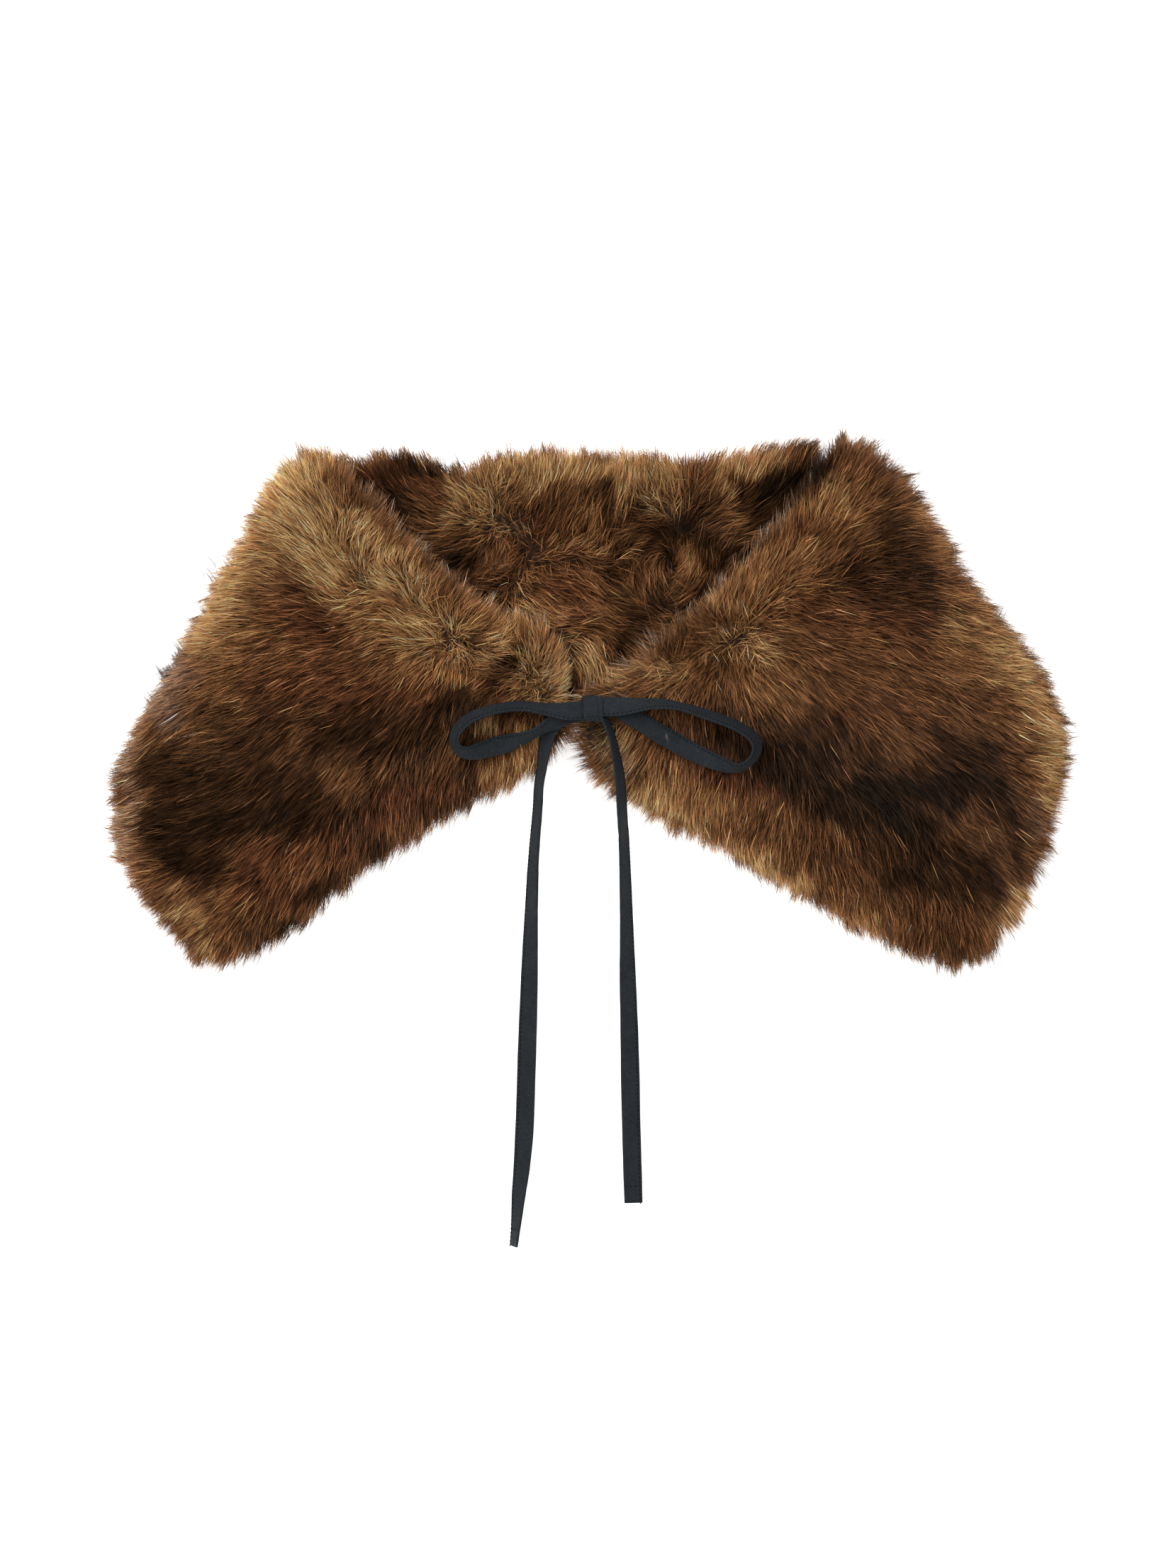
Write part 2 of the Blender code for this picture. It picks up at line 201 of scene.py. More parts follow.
def mesh_of(name: str, points: np.ndarray, faces: list[tuple[int, ...]]) -> bpy.types.Mesh:
    """A smooth shaded mesh with its faces turned out.

    Args:
        name: the mesh's name.
        points: its points, a row each.
        faces: the rows of points that each face joins.

    Returns:
        The mesh.
    """
    mesh = bpy.data.meshes.new(name)
    mesh.from_pydata(points.tolist(), [], faces)
    body = bmesh.new()
    body.from_mesh(mesh)
    bmesh.ops.recalc_face_normals(body, faces=body.faces)
    body.to_mesh(mesh)
    body.free()
    mesh.shade_smooth()
    return mesh


def stitched_mesh(name: str, body: bmesh.types.BMesh, material: bpy.types.Material) -> bpy.types.Object:
    """A smooth shaded object from a row of stitches.

    Args:
        name: the object's name, and its mesh's.
        body: the stitches, which is freed.
        material: the thread.

    Returns:
        The object.
    """
    mesh = bpy.data.meshes.new(name)
    body.to_mesh(mesh)
    body.free()
    mesh.shade_smooth()
    mesh.materials.append(material)
    return new_object(name, mesh)


def dress(pieces: list[bpy.types.Object]) -> None:
    """Says that pieces ride on the wrap's one body.

    Args:
        pieces: the pieces.
    """
    for piece in pieces:
        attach(piece, BODY)


# ---------------------------------------------------------------- colours and finishes


class Tone(Enum):
    """The fur's dyed tones and its painted sheen: the colour of a hair's tip, and how dark its root is
    against it, partly the root's own colour and partly painted shade deep in the pile.
    """

    GOLDEN = ((208, 151, 98), 0.24)
    TAWNY = ((174, 119, 74), 0.23)
    BROWN = ((138, 94, 58), 0.22)
    UMBER = ((112, 74, 45), 0.23)
    RUSSET = ((92, 54, 33), 0.24)
    DARK = ((43, 26, 12), 0.28)
    # a pale grey painted into the hair: sheen on glossy hair, light round the rims and light under the knot
    PAINTED_SHEEN = ((146, 116, 96), 0.28)
    # the darkest brown of dark patches; some strokes of it, and of the dark tone, are painted shade along the
    # fronts' V edges
    SOOT = ((26, 16, 6), 0.40)
    # pale hairs; some strokes of it, and the pale tips round the rim, are painted sheen and painted light
    PALE = ((186, 170, 150), 0.40)

    @property
    def tip(self) -> np.ndarray:
        """The tip's linear colour."""
        return linear(*self.value[0])

    @property
    def root(self) -> np.ndarray:
        """The root's linear colour."""
        return self.tip * self.value[1]


@dataclass(frozen=True)
class Stroke:
    """A soft patch of tone over a panel, in millimetres: from one place to another, with a half width. Some
    patches are painted shade and some painted light, as noted in the tables.
    """

    start: tuple[float, float]
    stop: tuple[float, float]
    half_width: float
    tone: Tone
    strength: float

    def weight(self, places: np.ndarray) -> np.ndarray:
        """How much each place belongs to the patch, from 0 to its strength."""
        gap = away_from(places, np.array(self.start, float), np.array(self.stop, float))
        return self.strength * np.exp(-((gap / self.half_width) ** 2))


@dataclass(frozen=True)
class NodeKit:
    """A shader node tree, and shorthands to fill it."""

    tree: bpy.types.NodeTree

    @classmethod
    def group(cls, name: str, inputs: dict[str, object], outputs: dict[str, str]) -> "NodeKit":
        """Starts a group.

        Args:
            name: the group's name.
            inputs: each input's name and its default, a number or a colour.
            outputs: each output's name and its socket type.
        """
        tree = bpy.data.node_groups.new(name, "ShaderNodeTree")
        for key, default in inputs.items():
            colour = isinstance(default, tuple)
            kind = "NodeSocketColor" if colour else "NodeSocketFloat"
            socket = tree.interface.new_socket(key, in_out="INPUT", socket_type=kind)
            socket.default_value = default
        for key, kind in outputs.items():
            tree.interface.new_socket(key, in_out="OUTPUT", socket_type=kind)
        tree.nodes.new("NodeGroupInput")
        tree.nodes.new("NodeGroupOutput")
        return cls(tree)

    def ends(self) -> tuple[bpy.types.Node, bpy.types.Node]:
        """The group's input node and its output node."""
        return self.tree.nodes["Group Input"], self.tree.nodes["Group Output"]

    def add(self, kind: str) -> bpy.types.Node:
        """A new node of this kind."""
        return self.tree.nodes.new(kind)

    def join(self, source: bpy.types.NodeSocket, target: bpy.types.NodeSocket) -> None:
        """Links two sockets."""
        self.tree.links.new(source, target)

    def feed(self, sockets: tuple, values: tuple) -> None:
        """Fills input sockets.

        Args:
            sockets: the inputs.
            values: a number, a colour or another node's socket for each.
        """
        for socket, value in zip(sockets, values):
            if isinstance(value, (int, float, tuple)):
                socket.default_value = value
            else:
                self.join(value, socket)

    def noise(
        self, scale: float, detail: float, stretch: tuple[float, float, float] = (1, 1, 1)
    ) -> bpy.types.NodeSocket:
        """A noise value over the object's own coordinates.

        Args:
            scale: how many swells to a metre.
            detail: how many finer layers it has.
            stretch: the scale's share along x, y and z.

        Returns:
            The value's socket.
        """
        place = self.add("ShaderNodeTexCoord")
        mapping = self.add("ShaderNodeMapping")
        mapping.inputs["Scale"].default_value = stretch
        texture = self.add("ShaderNodeTexNoise")
        self.feed((texture.inputs["Scale"], texture.inputs["Detail"]), (scale, detail))
        self.join(place.outputs["Object"], mapping.inputs["Vector"])
        self.join(mapping.outputs["Vector"], texture.inputs["Vector"])
        return texture.outputs["Fac"]

    def ramp(
        self, source: bpy.types.NodeSocket, span: tuple[float, float], to: tuple[float, float]
    ) -> bpy.types.NodeSocket:
        """A value spread over another span.

        Args:
            source: the value's socket.
            span: the lowest and highest that count.
            to: what they become.

        Returns:
            The new value's socket.
        """
        node = self.add("ShaderNodeMapRange")
        for key, value in zip(("From Min", "From Max", "To Min", "To Max"), (*span, *to)):
            node.inputs[key].default_value = value
        self.join(source, node.inputs["Value"])
        return node.outputs["Result"]

    def maths(self, operation: str, first: object, second: object) -> bpy.types.NodeSocket:
        """A Math node.

        Args:
            operation: what it does.
            first: a socket or a number.
            second: another.

        Returns:
            The result's socket.
        """
        node = self.add("ShaderNodeMath")
        node.operation = operation
        self.feed((node.inputs[0], node.inputs[1]), (first, second))
        return node.outputs["Value"]

    def blend(self, share: object, first: object, second: object, way: str = "MIX") -> bpy.types.NodeSocket:
        """A Mix node for colours.

        Args:
            share: how much of the second shows, a socket or a number.
            first: a socket or a colour.
            second: another.
            way: how they are mixed.

        Returns:
            The mixed colour's socket.
        """
        node = self.add("ShaderNodeMix")
        node.data_type = "RGBA"
        node.blend_type = way
        self.feed((node.inputs[0], node.inputs[6], node.inputs[7]), (share, first, second))
        return node.outputs[2]


@dataclass(frozen=True)
class UnevenDye:
    """Uneven light and dark along cloth or hair."""

    name: str = "uneven_dye"
    broad: tuple[float, float] = (55.0, 3.0)  # each noise's scale and detail
    fine: tuple[float, float] = (420.0, 2.0)
    span: tuple[float, float] = (0.3, 0.7)  # of the noises, that becomes -1 to 1

    def group(self) -> bpy.types.NodeTree:
        """Builds the group.

        Returns:
            A group that takes a colour and an amount, and puts out the varied colour.
        """
        kit = NodeKit.group(
            self.name, {"Colour": (0.5, 0.5, 0.5, 1.0), "Amount": 0.2}, {"Colour": "NodeSocketColor"}
        )
        inside, outside = kit.ends()
        broad = kit.ramp(kit.noise(*self.broad), self.span, (-1.0, 1.0))
        fine = kit.ramp(kit.noise(*self.fine), self.span, (-1.0, 1.0))
        swing = kit.maths("ADD", kit.maths("MULTIPLY", broad, 0.5), kit.maths("MULTIPLY", fine, 0.5))
        factor = kit.maths("ADD", kit.maths("MULTIPLY", swing, inside.outputs["Amount"]), 1.0)
        grey = kit.add("ShaderNodeCombineColor")
        for socket in grey.inputs:
            kit.join(factor, socket)
        varied = kit.blend(1.0, inside.outputs["Colour"], grey.outputs["Color"], "MULTIPLY")
        kit.join(varied, outside.inputs["Colour"])
        return kit.tree


@dataclass(frozen=True)
class PlainWeave:
    """A plain weave's height and its lint."""

    name: str = "plain_weave"
    turn: float = 4.0  # of the threads against the object, in degrees
    slub: tuple[float, float] = (900.0, 3.0)  # each noise's scale and detail
    slub_height: float = 0.6  # against a thread's
    specks: tuple[float, float] = (1500.0, 1.0)
    speck_span: tuple[float, float] = (0.70, 0.76)
    hairs: tuple[float, float] = (260.0, 4.0)
    hair_span: tuple[float, float] = (0.72, 0.77)
    hair_stretch: tuple[float, float, float] = (1.0, 0.14, 1.0)

    def group(self) -> bpy.types.NodeTree:
        """Builds the group.

        Returns:
            A group that takes the threads' turns to a metre, and puts out a height and how much lint shows.
        """
        outputs = {"Height": "NodeSocketFloat", "Lint": "NodeSocketFloat"}
        kit = NodeKit.group(self.name, {"Threads": 1.0}, outputs)
        inside, outside = kit.ends()
        place = kit.add("ShaderNodeTexCoord")
        turned = kit.add("ShaderNodeMapping")
        turned.inputs["Rotation"].default_value = (0.0, 0.0, math.radians(self.turn))
        kit.join(place.outputs["Object"], turned.inputs["Vector"])
        split = kit.add("ShaderNodeSeparateXYZ")
        kit.join(turned.outputs["Vector"], split.inputs["Vector"])
        waves = []
        for axis in ("X", "Y"):
            turns = kit.maths("MULTIPLY", split.outputs[axis], inside.outputs["Threads"])
            waves.append(kit.maths("SINE", turns, 0.0))
        woven = kit.maths("MULTIPLY", *waves)
        slub = kit.ramp(kit.noise(*self.slub), (0.3, 0.7), (-self.slub_height, self.slub_height))
        kit.join(kit.maths("ADD", woven, slub), outside.inputs["Height"])
        specks = kit.ramp(kit.noise(*self.specks), self.speck_span, (0.0, 1.0))
        hairs = kit.ramp(kit.noise(*self.hairs, self.hair_stretch), self.hair_span, (0.0, 1.0))
        kit.join(kit.maths("MAXIMUM", specks, hairs), outside.inputs["Lint"])
        return kit.tree


@dataclass(frozen=True)
class Finish:
    """A Principled material in a maker's words: colour, roughness, sheen and how uneven its dye is."""

    name: str
    colour: tuple[int, int, int]
    roughness: float
    sheen: float
    unevenness: float
    specular: float = 0.4
    sheen_roughness: float = 0.45
    tint_attribute: str = ""
    thread_pitch: float = 0.0
    relief: float = 0.0
    relief_strength: float = 0.6
    lint: tuple[int, int, int] = (0, 0, 0)
    lint_share: float = 0.5

    def material(self, groups: dict[str, bpy.types.NodeTree]) -> bpy.types.Material:
        """Builds the material.

        Args:
            groups: the shared node groups, by name.

        Returns:
            The finished material.
        """
        made = bpy.data.materials.new(self.name)
        made.use_nodes = True
        kit = NodeKit(made.node_tree)
        shader = made.node_tree.nodes["Principled BSDF"]
        plain = opaque(*self.colour)
        for key, value in (
            ("Roughness", self.roughness),
            ("Specular IOR Level", self.specular),
            ("Sheen Weight", self.sheen),
            ("Sheen Roughness", self.sheen_roughness),
            ("Sheen Tint", plain),
        ):
            shader.inputs[key].default_value = value
        made.diffuse_color = plain
        dye = kit.add("ShaderNodeGroup")
        dye.node_tree = groups["uneven_dye"]
        dye.inputs["Amount"].default_value = self.unevenness
        dye.inputs["Colour"].default_value = plain
        if self.tint_attribute:
            tint = kit.add("ShaderNodeAttribute")
            tint.attribute_name = self.tint_attribute
            kit.join(tint.outputs["Color"], dye.inputs["Colour"])
        colour = dye.outputs["Colour"]
        if self.thread_pitch:
            weave = kit.add("ShaderNodeGroup")
            weave.node_tree = groups["plain_weave"]
            weave.inputs["Threads"].default_value = 2 * math.pi / self.thread_pitch
            bump = kit.add("ShaderNodeBump")
            bump.inputs["Strength"].default_value = self.relief_strength
            bump.inputs["Distance"].default_value = self.relief
            kit.join(weave.outputs["Height"], bump.inputs["Height"])
            kit.join(bump.outputs["Normal"], shader.inputs["Normal"])
            share = kit.maths("MULTIPLY", weave.outputs["Lint"], self.lint_share)
            colour = kit.blend(share, colour, opaque(*self.lint))
        kit.join(colour, shader.inputs["Base Color"])
        return made


class Finishes:
    """Every finish of the wrap, built once."""

    HAIR = Finish("hair", (132, 91, 55), 0.45, 0.0, 0.22, specular=0.08, tint_attribute="tint")
    GROUND = Finish("cloth_ground", (46, 30, 20), 0.9, 0.2, 0.3)
    COTTON = Finish(
        "cotton",
        (36, 40, 44),
        0.9,
        0.12,
        0.28,
        specular=0.18,
        thread_pitch=0.0009,
        relief=0.00012,
        lint=(104, 104, 100),
    )
    THREAD = Finish("thread", (11, 12, 14), 0.75, 0.0, 0.2, specular=0.2)

    def __init__(self) -> None:
        """Builds the shared groups, then each material."""
        groups = {effect.name: effect.group() for effect in (UnevenDye(), PlainWeave())}
        self.hair = self.HAIR.material(groups)
        self.ground = self.GROUND.material(groups)
        self.cotton = self.COTTON.material(groups)
        self.thread = self.THREAD.material(groups)


# ---------------------------------------------------------------- tables of the fur

# Where the hair points, seen from above: x, y in millimetres and the heading in degrees, 0 to the right front
# and 90 to the neck edge. Where headings part, the hair stands up in a parting or a whorl.
BACK_COMBS = (
    (-94, 136, 110), (-67, 136, 100), (-37, 139, 95), (16, 139, 88), (71, 133, 75), (110, 138, 70),
    (-120, 134, 115), (-88, 115, 150), (-60, 112, 135), (-44, 116, 58), (-50, 90, 250), (-67, 95, 195),
    (-46, 78, 180), (-19, 95, 65), (2, 109, 70), (9, 92, 75), (30, 80, -85), (-12, 67, -32), (2, 33, -65),
    (16, 47, -25), (9, 60, -18), (-9, 74, -30), (-31, 69, -35), (30, 67, -62), (64, 116, 55), (54, 124, 110),
    (61, 80, 95), (84, 100, 40), (-12, 46, 10), (-4, 20, -80), (64, 100, 20), (40, 98, 200), (46, 60, 60),
    (-150, -10, 268), (0, -10, 270), (150, -10, 272), (-205, 20, 200), (222, 10, -15), (-150, 60, 190),
    (150, 60, -10), (60, 20, 300), (-80, 20, 240),
)
LEFT_COMBS = (
    (-154, 135, 105), (-138, 124, 75), (-171, 118, 145), (-176, 102, 160), (-154, 102, 140), (-143, 104, 118),
    (-127, 95, 60), (-116, 95, 55), (-116, 80, 55), (-182, 87, 182), (-203, 69, 188), (-160, 80, 155),
    (-138, 72, 145), (-170, 58, 178), (-190, 40, 192), (-214, 20, 196), (-225, 3, 205), (-245, 2, 200),
    (-100, 80, 55), (-104, 60, 150), (-120, 54, 200), (-88, 62, 60), (-88, 40, 165), (-66, 50, 55),
    (-64, 34, 15), (-74, 20, 262), (-92, 22, 225), (-121, 36, 215), (-138, 9, 205), (-165, 25, 200),
    (-46, 42, 72), (-31, 38, 110), (-19, 33, 88), (-43, 19, 160), (-22, 20, 85), (-38, 2, 200), (-14, 8, 50),
    (-67, 10, 250), (-94, 8, 225), (-60, -8, 255), (-40, -8, 265), (-24, -19, 280), (-15, -10, 320),
    (-230, -12, 205), (-205, -57, 207), (-168, -62, 215), (-243, -62, 200), (-262, -43, 184),
    (-265, -68, 180), (-258, -87, 182), (-246, -110, 212), (-224, -118, 222), (-205, -137, 255),
    (-224, -143, 245), (-193, -93, 225), (-168, -100, 245), (-149, -81, 250), (-130, -75, 260),
    (-143, -112, 255), (-111, -62, 265), (-130, -43, 238), (-118, -18, 215), (-193, -18, 208),
    (-93, -37, 258), (-150, -30, 218), (-170, 5, 205), (-80, -46, 262), (-56, -38, 262),
)
RIGHT_COMBS = (
    (107, 98, 75), (114, 120, 80), (137, 112, 55), (144, 127, 60), (159, 145, 60), (137, 149, 95),
    (129, 83, 42), (151, 90, 28), (174, 127, 25), (174, 98, 6), (166, 68, -8), (196, 83, -6), (137, 53, -15),
    (114, 41, -25), (181, 24, -22), (151, 9, -28), (107, 16, -45), (92, 16, -62), (77, 9, -88), (94, 36, -12),
    (83, 46, 85), (74, 37, 150), (83, 27, -90), (63, 24, -118), (55, 38, 115), (233, 46, -12), (240, 9, -16),
    (262, 16, -5), (255, -13, -8), (210, 50, -10), (98, 102, 112), (64, 71, 112), (30, 42, 122),
    (54, 60, 100), (16, 23, 150), (16, 14, 160), (50, 26, 75), (40, 12, 205), (78, 54, 62), (90, 70, 68),
    (48, 0, 282), (34, -6, 246), (20, -22, 232), (4, -44, 212), (-5, -30, 190), (0, -12, 178), (6, -48, 222),
    (12, -53, 232), (39, -44, 262), (57, -66, 268), (83, -83, 270), (110, -57, 262), (100, -74, 260),
    (127, -101, 275), (136, -30, 300), (162, -39, 310), (180, -9, -28), (215, -22, -28), (242, -26, -12),
    (230, -40, -32), (264, -30, -3), (268, -52, -8), (259, -74, -25), (250, -104, -45), (224, -140, -70),
    (206, -145, -88), (180, -127, -85), (198, -101, -74), (213, -66, -46), (198, -56, -50), (189, -76, -78),
    (171, -66, -70), (154, -83, -75), (66, -30, 265), (90, -30, 278), (112, -8, -50), (230, -96, -50),
    (150, -110, -82),
)


def strokes(*rows: tuple) -> tuple[Stroke, ...]:
    """Strokes from rows of from x, from y, to x, to y, half width, tone and strength."""
    return tuple(Stroke((a, b), (c, d), width, tone, strength) for a, b, c, d, width, tone, strength in rows)


G, T, B, R, D = Tone.GOLDEN, Tone.TAWNY, Tone.BROWN, Tone.RUSSET, Tone.DARK
A, S, P = Tone.PAINTED_SHEEN, Tone.SOOT, Tone.PALE
BACK_STROKES = strokes(
    (-134, 130, -98, 128, 14, R, 0.85), (-112, 139, -76, 136, 9, D, 1.0), (-98, 139, -78, 138, 8, S, 0.8),
    # The dark strokes from (-126, 132) to (-108, 114) and from (-92, 98) to (-84, 90) are painted shade in
    # the hollow beside the left front's V edge.
    (-118, 120, -110, 110, 9, D, 0.9), (-126, 132, -108, 114, 6, D, 0.7), (-92, 98, -84, 90, 5, D, 0.5),
    (-72, 124, -50, 118, 12, G, 0.75), (-78, 106, -44, 107, 11, G, 0.95), (-56, 136, -10, 138, 10, G, 0.75),
    (-46, 140, 44, 137, 8, G, 0.7), (76, 140, 110, 138, 10, G, 0.8), (10, 122, 22, 108, 11, D, 0.7),
    (26, 88, 34, 72, 7, D, 0.35), (32, 123, 42, 114, 10, G, 0.8), (70, 124, 82, 118, 7, G, 0.6),
    (104, 128, 124, 122, 12, D, 0.95), (88, 129, 104, 122, 8, D, 0.9), (48, 107, 64, 102, 10, D, 0.95),
    (50, 106, 60, 102, 8, S, 0.9), (36, 97, 76, 92, 9, D, 0.95), (76, 110, 88, 102, 8, T, 0.5),
    (62, 86, 76, 81, 9, T, 0.7), (102, 112, 106, 104, 12, D, 0.9), (-38, 108, -14, 92, 12, R, 0.9),
    (-18, 118, -12, 90, 8, D, 0.4), (-12, 92, 8, 90, 10, T, 0.75), (-82, 80, -66, 72, 9, D, 0.9),
    (-54, 72, -40, 66, 8, T, 0.3), (14, 82, 26, 66, 10, D, 0.75), (76, 78, 80, 74, 7, D, 0.4),
    (-16, 64, -2, 58, 9, R, 0.75), (-38, 58, -18, 46, 12, T, 0.7), (26, 52, 48, 54, 10, D, 0.8),
    # The soot stroke from (2, 14) to (126, 136), and both soot strokes of the next row, are painted shade in
    # the hollow beside the right front's V edge.
    (18, 30, 34, 40, 9, D, 0.8), (-10, 30, 4, 12, 11, G, 0.9), (2, 14, 126, 136, 4, S, 0.7),
    (98, 114, 124, 138, 9, S, 0.7), (114, 130, 130, 144, 8, S, 0.9),
)
LEFT_STROKES = strokes(
    (-178, 126, -136, 66, 20, G, 0.95), (-164, 138, -152, 134, 11, G, 0.9), (-136, 64, -92, 20, 16, T, 0.95),
    (-140, 112, -124, 92, 11, G, 0.8), (-112, 88, -96, 74, 9, G, 0.95), (-98, 36, -68, 32, 14, G, 1.0),
    (-110, 74, -90, 58, 11, G, 0.95), (-140, 84, -124, 68, 10, G, 0.8), (-88, 62, -60, 50, 9, T, 0.5),
    # The thin dark strokes from (-128, 124) to (-108, 104), from (-90, 88) to (-74, 74) and from (-54, 56) to
    # (-42, 44) are painted shade along the left front's V edge.
    (-78, 44, -66, 32, 9, G, 0.7), (-105, 53, -96, 48, 7, B, 0.6), (-128, 124, -108, 104, 5, D, 0.6),
    (-90, 88, -74, 74, 5, D, 0.6), (-54, 56, -42, 44, 8, D, 0.5), (-66, 16, -60, 4, 7, D, 0.6),
    (-98, -18, -84, -22, 8, D, 0.6), (-52, 46, -14, 34, 11, T, 0.6), (-200, 100, -206, 60, 12, G, 0.85),
    (-182, 102, -172, 90, 10, G, 0.8), (-190, 84, -180, 66, 9, G, 0.6), (-216, 54, -222, 34, 12, G, 0.8),
    (-198, 54, -184, 44, 10, B, 0.6), (-176, 56, -152, 30, 16, R, 0.75), (-220, 4, -190, 48, 10, T, 0.55),
    (-176, 6, -106, 2, 20, R, 0.7), (-122, 16, -106, 10, 9, B, 0.5), (-86, 24, -72, 10, 9, T, 0.7),
    (-46, 28, -24, 4, 12, G, 1.0), (-58, 34, -51, 20, 8, D, 0.9), (-24, 20, -2, 8, 11, G, 0.95),
    (-214, -10, -150, -14, 15, D, 0.7), (-196, -26, -184, -27, 9, D, 0.7), (-142, -16, -84, -16, 16, D, 0.85),
    (-80, 1, -68, -6, 10, D, 0.8), (-150, -28, -98, -32, 14, D, 0.9), (-120, -58, -72, -46, 12, D, 0.75),
    (-240, -42, -166, -50, 26, D, 0.88), (-236, -72, -176, -70, 20, D, 0.95),
    (-248, -60, -244, -82, 10, D, 0.9), (-172, -66, -126, -66, 14, D, 0.85),
    (-156, -78, -120, -93, 13, D, 0.95), (-120, -66, -84, -56, 13, R, 0.9), (-156, -44, -144, -48, 8, B, 0.4),
    (-194, -92, -140, -88, 13, R, 0.7), (-242, -84, -218, -102, 15, D, 0.95),
    (-252, -78, -240, -98, 9, D, 0.85), (-209, -98, -212, -112, 6, T, 0.4), (-234, -58, -216, -64, 9, S, 0.4),
    (-200, -104, -160, -112, 12, R, 0.75), (-198, -101, -190, -110, 7, D, 0.5),
    (-172, -104, -160, -109, 6, T, 0.4), (-162, -113, -142, -105, 10, D, 0.8),
    (-188, -140, -170, -132, 9, D, 0.9), (-188, -128, -176, -118, 8, D, 0.5),
    (-40, -18, -28, -36, 10, T, 0.85), (-68, -15, -60, -18, 6, G, 0.9), (-86, -4, -74, -12, 9, D, 0.85),
    (-58, -8, -34, -8, 6, D, 0.9), (-54, -48, -38, -40, 8, T, 0.8), (-72, -36, -62, -46, 8, D, 0.5),
    # The grey stroke from (-242, -6) to (-232, 16) and the pale ones from (-234, -12) and (-196, -96) are
    # painted sheen; the grey one from (-263, -28) to (-267, -92) is painted light round the rim.
    (-92, -68, -66, -54, 7, D, 0.7), (-242, -6, -232, 16, 12, A, 0.5), (-240, -112, -226, -122, 9, G, 0.5),
    (-246, -90, -230, -99, 9, D, 0.7), (-262, -24, -266, -96, 8, T, 0.7), (-263, -28, -267, -92, 9, A, 0.6),
    (-226, -138, -214, -144, 8, G, 0.5), (-234, -12, -228, -4, 12, P, 0.9), (-196, -96, -190, -90, 9, P, 0.5),
    (-34, 40, -16, 30, 8, P, 0.35),
)
